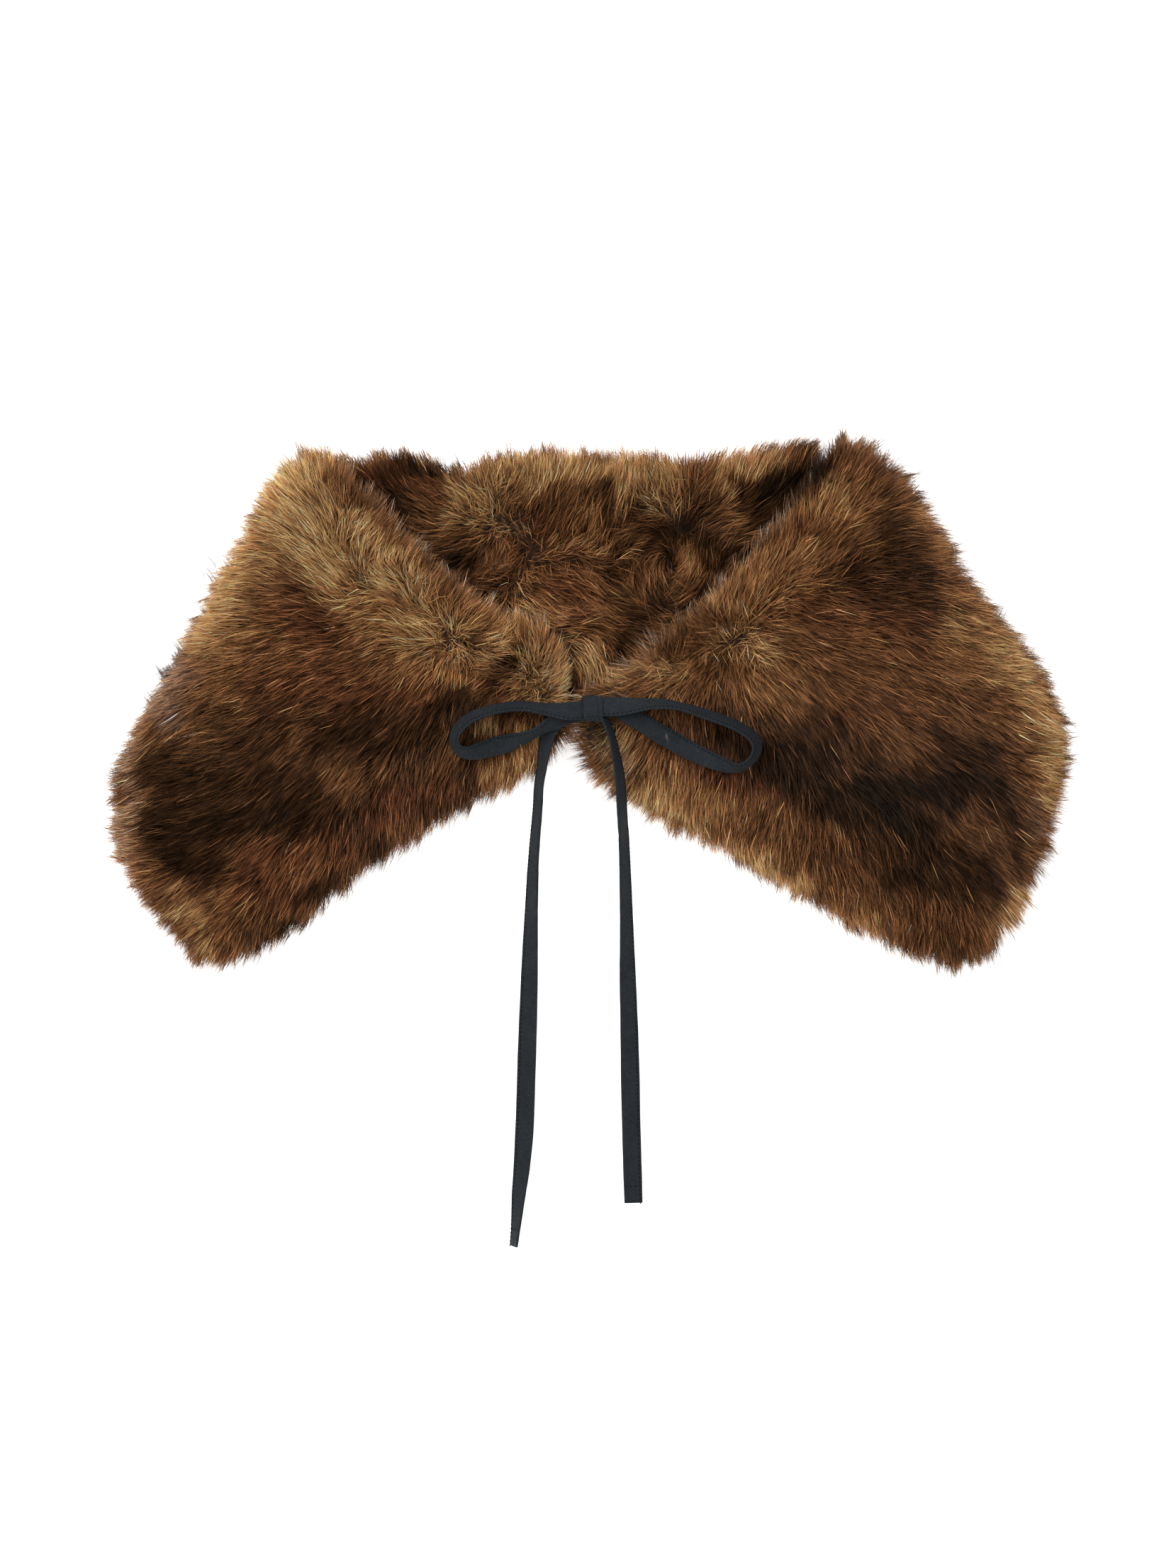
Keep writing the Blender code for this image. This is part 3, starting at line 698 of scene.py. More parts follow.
RIGHT_STROKES = strokes(
    # The dark and soot strokes from (110, 116) and (118, 128) are painted shade at the top of the V edge.
    (124, 122, 148, 110, 15, T, 0.8), (110, 116, 132, 144, 7, D, 0.85), (118, 128, 136, 146, 9, S, 1.0),
    (176, 96, 184, 56, 17, D, 0.78), (148, 72, 162, 56, 12, D, 0.85), (190, 76, 206, 36, 11, D, 0.7),
    (154, 82, 166, 66, 9, D, 0.6), (166, 130, 174, 112, 9, D, 0.6), (192, 102, 206, 84, 7, T, 0.8),
    (222, 62, 232, 48, 8, T, 0.8), (130, 50, 196, 42, 16, R, 0.6), (86, 80, 112, 66, 15, T, 0.7),
    (108, 76, 126, 70, 9, B, 0.5), (78, 30, 104, 27, 13, G, 0.95), (76, 58, 92, 50, 8, G, 0.6),
    (132, 128, 146, 122, 8, G, 0.5), (98, 54, 112, 46, 9, B, 0.6), (106, 94, 124, 84, 9, T, 0.7),
    # The thin dark stroke from (16, 26) to (100, 100) is painted shade along the V edge.
    (198, 50, 212, 40, 9, D, 0.7), (34, 26, 46, 16, 8, G, 0.5), (16, 26, 100, 100, 5, D, 0.75),
    (38, 50, 52, 44, 9, D, 0.7), (214, 38, 238, 24, 13, G, 0.6), (206, 22, 222, 12, 9, T, 0.5),
    (240, 26, 254, -8, 12, G, 0.85), (262, -8, 266, -54, 9, G, 1.0), (246, -6, 253, -18, 7, B, 0.7),
    (88, 12, 122, 6, 14, B, 0.6), (140, -6, 198, -12, 12, R, 0.5), (196, 4, 214, -4, 10, D, 0.3),
    (32, 54, 44, 50, 10, B, 0.5), (32, 6, 50, 0, 8, G, 0.4), (98, 0, 114, -10, 9, T, 0.6),
    (154, 40, 166, 30, 8, T, 0.4), (66, -18, 126, -15, 13, D, 0.6), (82, -32, 130, -34, 15, D, 1.0),
    (94, -32, 122, -33, 8, S, 0.4), (76, -22, 92, -32, 8, D, 0.95), (136, -18, 156, -27, 12, D, 0.7),
    (202, -28, 230, -33, 12, D, 0.9), (108, -48, 230, -50, 15, D, 1.0), (114, -50, 132, -60, 11, D, 0.85),
    (150, -54, 206, -54, 10, S, 0.75), (140, -66, 194, -74, 14, D, 0.95), (168, -64, 190, -78, 10, S, 0.9),
    (204, -50, 228, -62, 11, D, 0.95), (162, -86, 220, -90, 15, D, 0.8), (136, -72, 142, -84, 7, T, 0.3),
    (242, -64, 248, -92, 8, D, 0.85), (176, -103, 232, -110, 12, D, 0.85), (200, -92, 222, -98, 10, D, 0.7),
    (162, -118, 184, -128, 8, T, 0.4), (172, -101, 194, -109, 9, D, 0.7), (228, -88, 232, -106, 10, D, 0.6),
    (132, -84, 160, -100, 13, R, 0.5), (188, -124, 218, -130, 14, R, 0.5), (192, -140, 212, -146, 9, D, 0.5),
    (160, -116, 184, -124, 8, D, 0.5), (30, -50, 72, -60, 15, T, 0.75), (66, -62, 104, -64, 9, T, 0.5),
    (8, -40, 40, -54, 13, G, 0.5), (28, -58, 60, -75, 9, G, 1.0), (60, -76, 104, -99, 7, G, 0.6),
    # The golden stroke from (0, -12) to (14, -32), and the grey and pale strokes that start the next row, are
    # partly the fur's own golden colour and partly painted light against the knot's cast shadow.
    (98, -98, 120, -109, 7, G, 0.9), (142, -120, 162, -130, 7, T, 0.9), (0, -12, 14, -32, 12, G, 1.0),
    (-4, -14, 14, -40, 9, A, 0.5), (0, -14, 16, -44, 10, P, 1.0), (2, -16, 14, -40, 9, P, 1.0),
    (34, -4, 46, -10, 6, T, 0.6), (34, -38, 60, -38, 9, B, 0.6), (66, -42, 96, -58, 12, R, 0.8),
    # The grey stroke from (258, -60) to (259, -78) is painted light round the rim.
    (12, 14, 36, 16, 9, G, 0.6), (236, -132, 248, -116, 8, G, 0.8), (258, -60, 259, -78, 6, A, 0.4),
    (10, 18, 26, 14, 8, P, 0.35), (20, 36, 108, 108, 4, P, 0.6), (136, 148, 166, 136, 12, R, 0.4),
)


# ---------------------------------------------------------------- fur


@dataclass(frozen=True)
class Lock:
    """Hairs that lean together, and how much they share from 0 to 1. The rim values hold round an edge."""

    width: float  # in metres
    pull: float  # of a tip towards the lock's own
    rim_pull: float
    mark: float  # of a hair's tone and reach, which go together, so that lower locks are darker: painted shade deep in the pile
    rim_mark: float  # of its reach
    point: float  # how much less the hairs at a rim lock's side reach, in metres


@dataclass(frozen=True)
class HairCut:
    """How the pile grows on every panel, in metres. A swell is a size and how far it moves a value."""

    ground_depth: float = 0.0115  # from the panel's surface in to its cloth ground
    length: float = 0.0225
    length_spread: tuple[float, float] = (0.72, 1.12)
    length_swell: tuple[float, float] = (0.02, 0.08)
    crown_reach: float = 0.016  # about how far a tip lies from its root, which a crown has to close over
    crown_lean: float = 0.45  # how far over the hair leans at a crown itself
    crown_turn: float = 1.8  # how much its heading strays there, in radians
    crown_light: float = 1.5  # of its colour there, where its roots show
    heading_swells: tuple[tuple[float, float], ...] = ((0.045, 0.22), (0.013, 0.16))  # in radians
    heading_spread: float = 0.16  # of each hair by itself
    bend_at: float = 0.57  # of the hair's length
    low_lean: tuple[float, float] = (0.96, 0.46)  # below the bend: out of the cloth, and along it
    high_lean: tuple[float, float] = (0.50, 0.90)
    level_lean: float = 0.14  # more of the way along, but level
    lean_swell: tuple[float, float] = (0.016, 0.12)
    lean_spread: float = 0.12
    reach: tuple[float, float] = (-0.0100, 0.0080)  # past the surface, of the shortest and longest lock
    rim_reach: tuple[float, float] = (-0.0110, 0.0170)
    rim_light: float = 0.25  # how near the roots' tone is to the tips' there, as more of a hair shows
    painted_rim_light: float = 0.7  # painted rim light: how pale the tips are made round the rim
    fade_from: float = 0.16  # the linear red below which a dark tip takes less of that painted light
    rim_draw: float = 0.0016  # how much less they reach round the rim
    blade_half_width: float = 0.00016
    blade_spread: tuple[float, float] = (0.65, 1.3)
    guard_share: float = 0.09  # of the hairs, longer and coarser
    guard_stretch: float = 1.2
    guard_width: float = 1.1
    guard_reach: float = 0.0036  # past the others
    # guard hairs come out lighter on the whole: partly their own tone, partly painted sheen on single hairs
    guard_light: float = 0.15
    guard_contrast: float = 0.60
    guard_base: float = 0.2  # of the base tone that they keep under the others, which leaves them lighter in dark patches: partly their own tone, partly painted sheen
    locks: tuple[Lock, ...] = (
        Lock(0.0105, 0.08, 0.12, 0.04, 0.14, 0.0),
        Lock(0.0046, 0.12, 0.66, 0.09, 0.56, 0.016),
        Lock(0.0016, 0.38, 0.40, 0.38, 0.16, 0.004),
    )
    pull_spread: tuple[float, float] = (0.55, 1.25)
    lock_stray: float = 0.28  # of a lock's tip from straight, in widths
    tip_gather: float = 0.3  # of their roots' distance that a lock's tips keep
    bend_gather: float = 0.7
    bend_stray: float = 0.4  # of the tip's own
    bend_pull: float = 0.5
    lock_contrast: float = 2.5
    hair_contrast: float = 0.62
    light_swell: tuple[float, float] = (0.012, 0.06)
    tone_drift: tuple[float, float] = (0.03, 0.006)  # of the tones' edges, a swell
    tone_fray: float = 0.3  # how unevenly the locks take up a tone at its edge
    pale_share: float = 0.25  # of the hairs, in a pale patch
    light_limits: tuple[float, float] = (0.0004, 0.9)
    mid_tone: float = 0.17  # how near the bend's colour is to the tip's, from the root's
    tip_scatter: float = 0.0010
    mid_scatter: float = 0.0010 / 3
    floor_press: float = 0.06  # of its depth under the floor that hair keeps above it


@dataclass
class Surface:
    """A panel's welded surface: points, their outward normals, its triangles, and a tree to search it."""

    points: np.ndarray
    normals: np.ndarray
    triangles: np.ndarray

    def __post_init__(self) -> None:
        """Grows the tree."""
        self.tree = BVHTree.FromPolygons(self.points.tolist(), self.triangles.tolist())

    @classmethod
    def of_node(cls, name: str) -> "Surface":
        """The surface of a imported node.

        Args:
            name: the node's name. The node itself is left as it is.

        Returns:
            Its surface.
        """
        body = bmesh.new()
        body.from_mesh(bpy.data.objects[name].data)
        bmesh.ops.remove_doubles(body, verts=body.verts, dist=1e-6)
        bmesh.ops.triangulate(body, faces=body.faces)
        body.normal_update()
        points = np.array([vert.co for vert in body.verts])
        normals = np.array([vert.normal for vert in body.verts])
        triangles = np.array([[vert.index for vert in face.verts] for face in body.faces])
        body.free()
        return cls(points, unit(normals), triangles)

    def middles(self) -> tuple[np.ndarray, np.ndarray, np.ndarray]:
        """What the triangles are like.

        Returns:
            The centre, the normal and the area of each.
        """
        a, b, c = (self.points[self.triangles[:, i]] for i in range(3))
        cross = np.cross(b - a, c - a)
        return (a + b + c) / 3, unit(cross), np.linalg.norm(cross, axis=1) / 2

    def scatter(
        self, rng: np.random.Generator, weights: np.ndarray, count: int
    ) -> tuple[np.ndarray, np.ndarray]:
        """Random places on the surface.

        Args:
            rng: the panel's random numbers.
            weights: each triangle's share of the places.
            count: how many places.

        Returns:
            The places and their normals.
        """
        chosen = rng.choice(len(self.triangles), size=count, p=weights / weights.sum())
        share = rng.random((count, 2))
        over = share.sum(1) > 1
        share[over] = 1 - share[over]
        blend = np.column_stack([1 - share.sum(1), share])[:, :, None]
        corners = self.triangles[chosen]
        return (self.points[corners] * blend).sum(1), unit((self.normals[corners] * blend).sum(1))

    def above(self, points: np.ndarray) -> tuple[np.ndarray, np.ndarray]:
        """Where points are against the surface.

        Args:
            points: a row each.

        Returns:
            How far each one is outside, negative inside, and which way is out.
        """
        found = [self.tree.find_nearest(point)[:2] for point in points.tolist()]
        nearby = np.array([spot for spot, _ in found])
        outward = np.array([way for _, way in found])
        gap = points - nearby
        distance = np.linalg.norm(gap, axis=1)
        is_out = (gap * outward).sum(-1) > 0
        outward = np.where((is_out & (distance > 1e-5))[:, None], unit(gap), outward)
        return np.where(is_out, distance, -distance), outward


@dataclass
class Pile:
    """A panel's hairs while they grow, a row each, in metres."""

    places: np.ndarray  # on the panel's surface, over the roots
    normals: np.ndarray
    grain: np.ndarray  # each hair's own chance, from 0 to 1
    guard: np.ndarray  # whether it is one of the longer and coarser hairs
    firmness: np.ndarray  # how firmly it lies, from 0 to 1
    fullness: np.ndarray  # how much further it reaches than the others
    roots: np.ndarray
    mids: np.ndarray
    tips: np.ndarray

    @property
    def rim(self) -> np.ndarray:
        """How near each hair is to the panel's rim, from 0 on a face to 1 on the edge."""
        return 1.0 - np.abs(self.normals[:, 2])


@dataclass
class FurPanel:
    """One panel of the wrap: its cloth ground and the hair on both faces."""

    node: str
    combs: tuple[tuple[float, float, float], ...]
    strokes: tuple[Stroke, ...]
    hairs: int
    pieces: tuple[str, ...]
    flat: tuple[float, float]
    flat_area: float
    held: str
    rests_on: tuple[str, ...]
    seed: int
    fuller: tuple[tuple[float, float, float, float], ...]  # x, y, radius and further reach, in millimetres
    patchiness: float = 1.0  # of its locks, against the other panels'
    base_tone: Tone = Tone.UMBER
    cut: HairCut = field(default_factory=HairCut)

    COMB_REACH = 5.0  # millimetres within which a comb row rules alone
    FAN_STEP = 0.0035  # metres to each side over which the combing's fanning out is measured
    COVERED_SHARE = 0.10  # of the hair, where another panel lies on this one
    UNDER_SHARE = 0.22  # of the hair, on the face that lies on the floor
    UNDER_SLOPE = -0.35  # a normal's z, below which a face is under the panel
    RAY_LIFT = 0.002  # off a face, to where a ray looks for the panel that covers it
    GROUND_SMOOTHINGS = 3
    FEWEST_LOCKS = 8
    TIE_MARGIN = 0.008  # round the ties, past which no hair is near one
    NEAR_ROWS = 4000  # of hair that are measured against the ties at once
    ORDER_SLANT = 0.25  # of y in the order that shares the hair out to the pieces

    def __post_init__(self) -> None:
        """Reads the panel's surface and starts its random numbers."""
        self.rng = np.random.default_rng(self.seed)
        self.surface = Surface.of_node(self.node)

    def build(
        self, others: list[BVHTree], finishes: Finishes, keep_clear: np.ndarray
    ) -> list[bpy.types.Object]:
        """Args:
            others: the other panels' surfaces, which hide some of this one.
            finishes: the materials.
            keep_clear: points along the ties, which hair stays under.

        Returns:
            The ground, then its pieces of fur.
        """
        ground = self.make_ground(finishes.ground)
        furs = self.make_fur(others, finishes.hair, keep_clear)
        dress([ground, *furs])
        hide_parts(self.node)
        return [ground, *furs]

    def make_ground(self, material: bpy.types.Material) -> bpy.types.Object:
        """The cloth that the hair grows from: the panel drawn in by the pile's height.

        Args:
            material: the cloth's finish.

        Returns:
            The ground.
        """
        points = self.surface.points - self.surface.normals * self.cut.ground_depth
        links = self.surface.triangles[:, [0, 1, 1, 2, 2, 0]].reshape(-1, 2)
        for _ in range(self.GROUND_SMOOTHINGS):
            total = np.zeros_like(points)
            count = np.zeros(len(points))
            np.add.at(total, links[:, 0], points[links[:, 1]])
            np.add.at(count, links[:, 0], 1)
            points = mix(points, total / count[:, None], 0.5)
        mesh = mesh_of(self.node + "_cloth", points, [tuple(t) for t in self.surface.triangles.tolist()])
        mesh.materials.append(material)
        return new_object(self.node + "_cloth", mesh)

    def face_weights(self, others: list[BVHTree]) -> np.ndarray:
        """How the hair is shared out: less where nothing of it shows.

        Args:
            others: the other panels' surfaces.

        Returns:
            Each triangle's share.
        """
        centres, normals, areas = self.surface.middles()
        share = np.ones(len(areas))
        for index, (centre, normal) in enumerate(zip(centres, normals)):
            is_under = normal[2] < self.UNDER_SLOPE
            start = Vector(centre + normal * self.RAY_LIFT)
            if any(tree.ray_cast(start, Vector(-UP if is_under else UP))[0] is not None for tree in others):
                share[index] = self.COVERED_SHARE
            elif is_under:
                share[index] = self.UNDER_SHARE
        return areas * share

    def heading(self, places: np.ndarray) -> np.ndarray:
        """Where the hair points, from the comb rows near each place.

        Args:
            places: x and y in metres.

        Returns:
            Unit directions in the plane.
        """
        rows = np.array(self.combs, float)
        angle = np.radians(rows[:, 2])
        ways = np.stack([np.cos(angle), np.sin(angle)], 1)
        gap = ((places[:, None] / MM - rows[None, :, :2]) ** 2).sum(-1)
        pull = 1.0 / (gap + self.COMB_REACH**2) ** 2
        return unit(pull @ ways)

    def combed(self, places: np.ndarray) -> tuple[np.ndarray, np.ndarray]:
        """How the hair is combed over the panel.

        Args:
            places: x and y in metres.

        Returns:
            Unit directions in the plane, and how firmly the hair lies, from 0 to 1: less where the combing
            fans out, as at a crown, so that the hair closes over it.
        """
        fan = np.zeros(len(places))
        for axis in (0, 1):
            step = np.zeros(2)
            step[axis] = self.FAN_STEP
            ahead, behind = self.heading(places + step), self.heading(places - step)
            fan += (ahead[:, axis] - behind[:, axis]) / (2 * self.FAN_STEP)
        return self.heading(places), 1.0 / (1.0 + self.cut.crown_reach * np.maximum(fan, 0.0))

    def strayed(self, places: np.ndarray, combed: np.ndarray, firmness: np.ndarray) -> np.ndarray:
        """Each hair's own level heading.

        Args:
            places: the hairs' places.
            combed: the comb's direction in the plane at each.
            firmness: how firmly the hair lies at each.

        Returns:
            Unit directions with a z of 0.
        """
        cut, rng, count = self.cut, self.rng, len(places)
        stray = sum(Ripple(rng, *swell).at(places) for swell in cut.heading_swells)
        own = rng.normal(0.0, cut.heading_spread, count)
        stray += own + (1.0 - firmness) ** 2 * rng.normal(0.0, cut.crown_turn, count)
        cosine, sine = np.cos(stray), np.sin(stray)
        x = combed[:, 0] * cosine - combed[:, 1] * sine
        y = combed[:, 0] * sine + combed[:, 1] * cosine
        return np.stack([x, y, np.zeros(count)], 1)

    def toned(
        self, places: np.ndarray, chance: np.ndarray, grain: np.ndarray, dye: np.ndarray
    ) -> tuple[np.ndarray, np.ndarray]:
        """The tip and root colours at each place.

        Args:
            places: x and y in metres, of the hair tips.
            chance: a number from 0 to 1 for each hair, shared by a lock's hairs for the most part.
            grain: another for each hair by itself.
            dye: how well each hair takes the tones past the base tone, from 0 to 1.

        Returns:
            Tip colours and root colours.
        """
        tips = np.repeat(self.base_tone.tip[None], len(places), 0)
        roots = np.repeat(self.base_tone.root[None], len(places), 0)
        fray = self.cut.tone_fray
        for stroke in self.strokes:
            weight = stroke.weight(places / MM)
            if stroke.tone is Tone.PALE:
                share = (grain < weight * self.cut.pale_share).astype(float)[:, None]
            else:
                share = (np.clip((1.0 + fray) * weight - fray * chance, 0.0, 1.0) * dye)[:, None]
            tips = mix(tips, stroke.tone.tip[None], share)
            roots = mix(roots, stroke.tone.root[None], share)
        return tips, roots

    def fullness(self, places: np.ndarray) -> np.ndarray:
        """How much further the hair reaches where the panel is fuller.

        Args:
            places: the hairs' places.

        Returns:
            A length for each, negative where the hair lies closer.
        """
        total = np.zeros(len(places))
        for x, y, radius, extra in self.fuller:
            gap = np.linalg.norm(places[:, :2] / MM - (x, y), axis=1)
            total += extra * MM * np.exp(-((gap / radius) ** 2))
        return total

    def grow(self, others: list[BVHTree]) -> Pile:
        """Hairs that leave the ground, bend over and follow the combing.

        Args:
            others: the other panels' surfaces.

        Returns:
            The pile.
        """
        cut, rng, count = self.cut, self.rng, self.hairs
        places, normals = self.surface.scatter(rng, self.face_weights(others), count)
        grain, guard = rng.random(count), rng.random(count) < cut.guard_share

        combed, firmness = self.combed(places[:, :2])
        level = self.strayed(places, combed, firmness)
        along = level - dot(level, normals) * normals
        lay = (mix(cut.crown_lean, 1.0, firmness) * np.linalg.norm(along, axis=1))[:, None]
        over = unit(along) * lay + level * cut.level_lean

        fullness = self.fullness(places)
        length = cut.length * rng.uniform(*cut.length_spread, count) + np.maximum(fullness, 0.0)
        length *= 1.0 + Ripple(rng, *cut.length_swell).at(places)
        length = np.where(guard, length * cut.guard_stretch, length)[:, None]
        lift = 1.0 + Ripple(rng, *cut.lean_swell).at(places)[:, None]
        lift = lift + rng.normal(0, cut.lean_spread, (count, 1))
        low_way, high_way = (
            unit(normals * (out * lift) + over * lean) for out, lean in (cut.low_lean, cut.high_lean)
        )
        roots = places - normals * cut.ground_depth
        mids = roots + low_way * length * cut.bend_at
        tips = mids + high_way * length * (1.0 - cut.bend_at)
        return Pile(places, normals, grain, guard, firmness, fullness, roots, mids, tips)

    def gather(self, pile: Pile) -> tuple[np.ndarray, np.ndarray]:
        """Leans the hairs together into locks.

        Args:
            pile: the hairs, whose bends and tips are moved.

        Returns:
            A chance from 0 to 1 for each hair, which its lock shares for the most part, and how far its tip
            may go past the panel's surface.
        """
        cut, rng, count = self.cut, self.rng, self.hairs
        places, mids, tips = pile.places, pile.mids, pile.tips
        chance = (1.0 - sum(lock.mark for lock in cut.locks)) * pile.grain
        rim_chance = (1.0 - sum(lock.rim_mark for lock in cut.locks)) * pile.grain
        short = np.zeros(count)
        area = self.surface.middles()[2].sum()
        for lock in cut.locks:
            size = max(self.FEWEST_LOCKS, int(area / lock.width**2))
            centres = rng.choice(count, size=size, replace=False)
            own = nearest(places[centres], places)
            lead = centres[own]
            spread = places - places[lead]
            stray = (unit(rng.normal(size=(size, 3))) * lock.width * cut.lock_stray)[own]
            pull = mix(lock.pull * self.patchiness, lock.rim_pull, pile.rim)
            share = (pull * rng.uniform(*cut.pull_spread, count))[:, None]
            tips = mix(tips, tips[lead] + spread * cut.tip_gather + stray, share)
            bends = mids[lead] + spread * cut.bend_gather + stray * cut.bend_stray
            mids = mix(mids, bends, share * cut.bend_pull)
            luck = rng.random(size)[own]
            chance += luck * lock.mark
            rim_chance += luck * lock.rim_mark
            short += lock.point * np.linalg.norm(spread, axis=1) / lock.width
        pile.tips = tips + rng.normal(0, cut.tip_scatter, (count, 3))
        pile.mids = mids + rng.normal(0, cut.mid_scatter, (count, 3))
        reach = mix(mix(*cut.reach, chance), mix(*cut.rim_reach, rim_chance) - short, pile.rim)
        return chance, reach + (pile.guard * cut.guard_reach + pile.fullness)

    def draw_in(self, pile: Pile, reach: np.ndarray, keep_clear: np.ndarray) -> None:
        """Moves the hairs in that reach too far, and clear of the ties and the floor.

        Args:
            pile: the hairs, which are moved.
            reach: how far each tip may go past the panel's surface.
            keep_clear: points along the ties.
        """
        outside, outward = self.surface.above(pile.tips)
        reach = reach - self.cut.rim_draw * (1.0 - np.abs(outward[:, 2]))
        drawn_in = np.maximum(outside - reach, 0.0)[:, None] * outward
        for points in (pile.roots, pile.mids, pile.tips):
            points -= drawn_in
            self.press_under(points, keep_clear)
            low = points[:, 2] < FLOOR_CLEARANCE
            points[low, 2] = FLOOR_CLEARANCE + np.abs(points[low, 2]) * self.cut.floor_press

    def coloured(self, pile: Pile, chance: np.ndarray) -> np.ndarray:
        """Each hair's colours.

        Args:
            pile: the hairs.
            chance: a number from 0 to 1 for each, shared by a lock's hairs for the most part.

        Returns:
            For each hair its colour at the root, the bend and the tip.
        """
        cut, rng, count = self.cut, self.rng, self.hairs
        drift = np.stack([Ripple(rng, *cut.tone_drift).at(pile.places) for _ in range(2)], 1)
        # Guard hairs take less of the patches' tones and stay lighter in dark patches: partly their own tone,
        # partly painted sheen.
        dye = 1.0 - cut.guard_base * pile.guard
        tip, root = self.toned(pile.tips[:, :2] + drift, chance, pile.grain, dye)
        root = mix(root, tip, (cut.rim_light * pile.rim)[:, None])
        # Painted rim light: tips round the rim are made paler, as the light through and round them.
        rim_glow = cut.painted_rim_light * pile.rim**2 * rng.random(count) * np.minimum(1.0, tip[:, 0] / cut.fade_from)
        tip = mix(tip, Tone.PALE.tip, rim_glow[:, None])

        own_light = rng.normal(0, cut.hair_contrast, count)
        # A lock's colour follows its reach through the shared chance, so lower locks come out darker: painted
        # shade deep in the pile, on top of their random tone.
        light = np.exp(cut.lock_contrast * self.patchiness * (chance - 0.5) + own_light)
        light *= 1.0 + Ripple(rng, *cut.light_swell).at(pile.tips)
        light *= mix(1.0, cut.crown_light, (1.0 - pile.firmness) ** 2)
        # Guard hairs are lighter on the whole: partly their own tone, partly painted sheen on single hairs.
        light *= np.where(pile.guard, np.exp(rng.normal(cut.guard_light, cut.guard_contrast, count)), 1.0)
        colours = np.stack([root, mix(root, tip, cut.mid_tone), tip], 1)
        return np.clip(colours * light[:, None, None], *cut.light_limits)

    def make_fur(
        self, others: list[BVHTree], material: bpy.types.Material, keep_clear: np.ndarray
    ) -> list[bpy.types.Object]:
        """The hair of both faces, as one mesh for each piece.

        Args:
            others: the other panels' surfaces.
            material: the hair's finish.
            keep_clear: points along the ties.

        Returns:
            The pieces of fur.
        """
        cut = self.cut
        pile = self.grow(others)
        chance, reach = self.gather(pile)
        self.draw_in(pile, reach, keep_clear)
        colours = self.coloured(pile, chance)
        width = cut.blade_half_width * self.rng.uniform(*cut.blade_spread, self.hairs)
        width *= np.where(pile.guard, cut.guard_width, 1.0)
        order = np.argsort(pile.places[:, 0] + self.ORDER_SLANT * pile.places[:, 1], kind="stable")
        made = []
        for name, chosen in zip(self.pieces, np.array_split(order, len(self.pieces))):
            rows = (pile.roots, pile.mids, pile.tips, width, pile.normals)
            blades = Blades(*(row[chosen] for row in rows))
            mesh = blades.mesh(name, colours[chosen], self.rng)
            mesh.materials.append(material)
            made.append(new_object(name, mesh))
        return made

    def press_under(self, points: np.ndarray, keep_clear: np.ndarray) -> None:
        """Moves hair that would pass through a tie down to just under it.

        Args:
            points: the hair's points, changed in place.
            keep_clear: points along the ties, with the half width that they cover in a fourth column.
        """
        low, high = keep_clear[:, :2].min(0) - self.TIE_MARGIN, keep_clear[:, :2].max(0) + self.TIE_MARGIN
        level = points[:, :2]
        near = np.flatnonzero(((level > low) & (level < high)).all(1) & (points[:, 2] > TIE_LEVEL))
        for rows in np.array_split(near, max(1, len(near) // self.NEAR_ROWS)):
            gap = np.linalg.norm(points[rows, None, :2] - keep_clear[None, :, :2], axis=-1)
            ceiling = np.where(gap < keep_clear[None, :, 3], keep_clear[None, :, 2], np.inf).min(1)
            points[rows, 2] = np.minimum(points[rows, 2], ceiling)


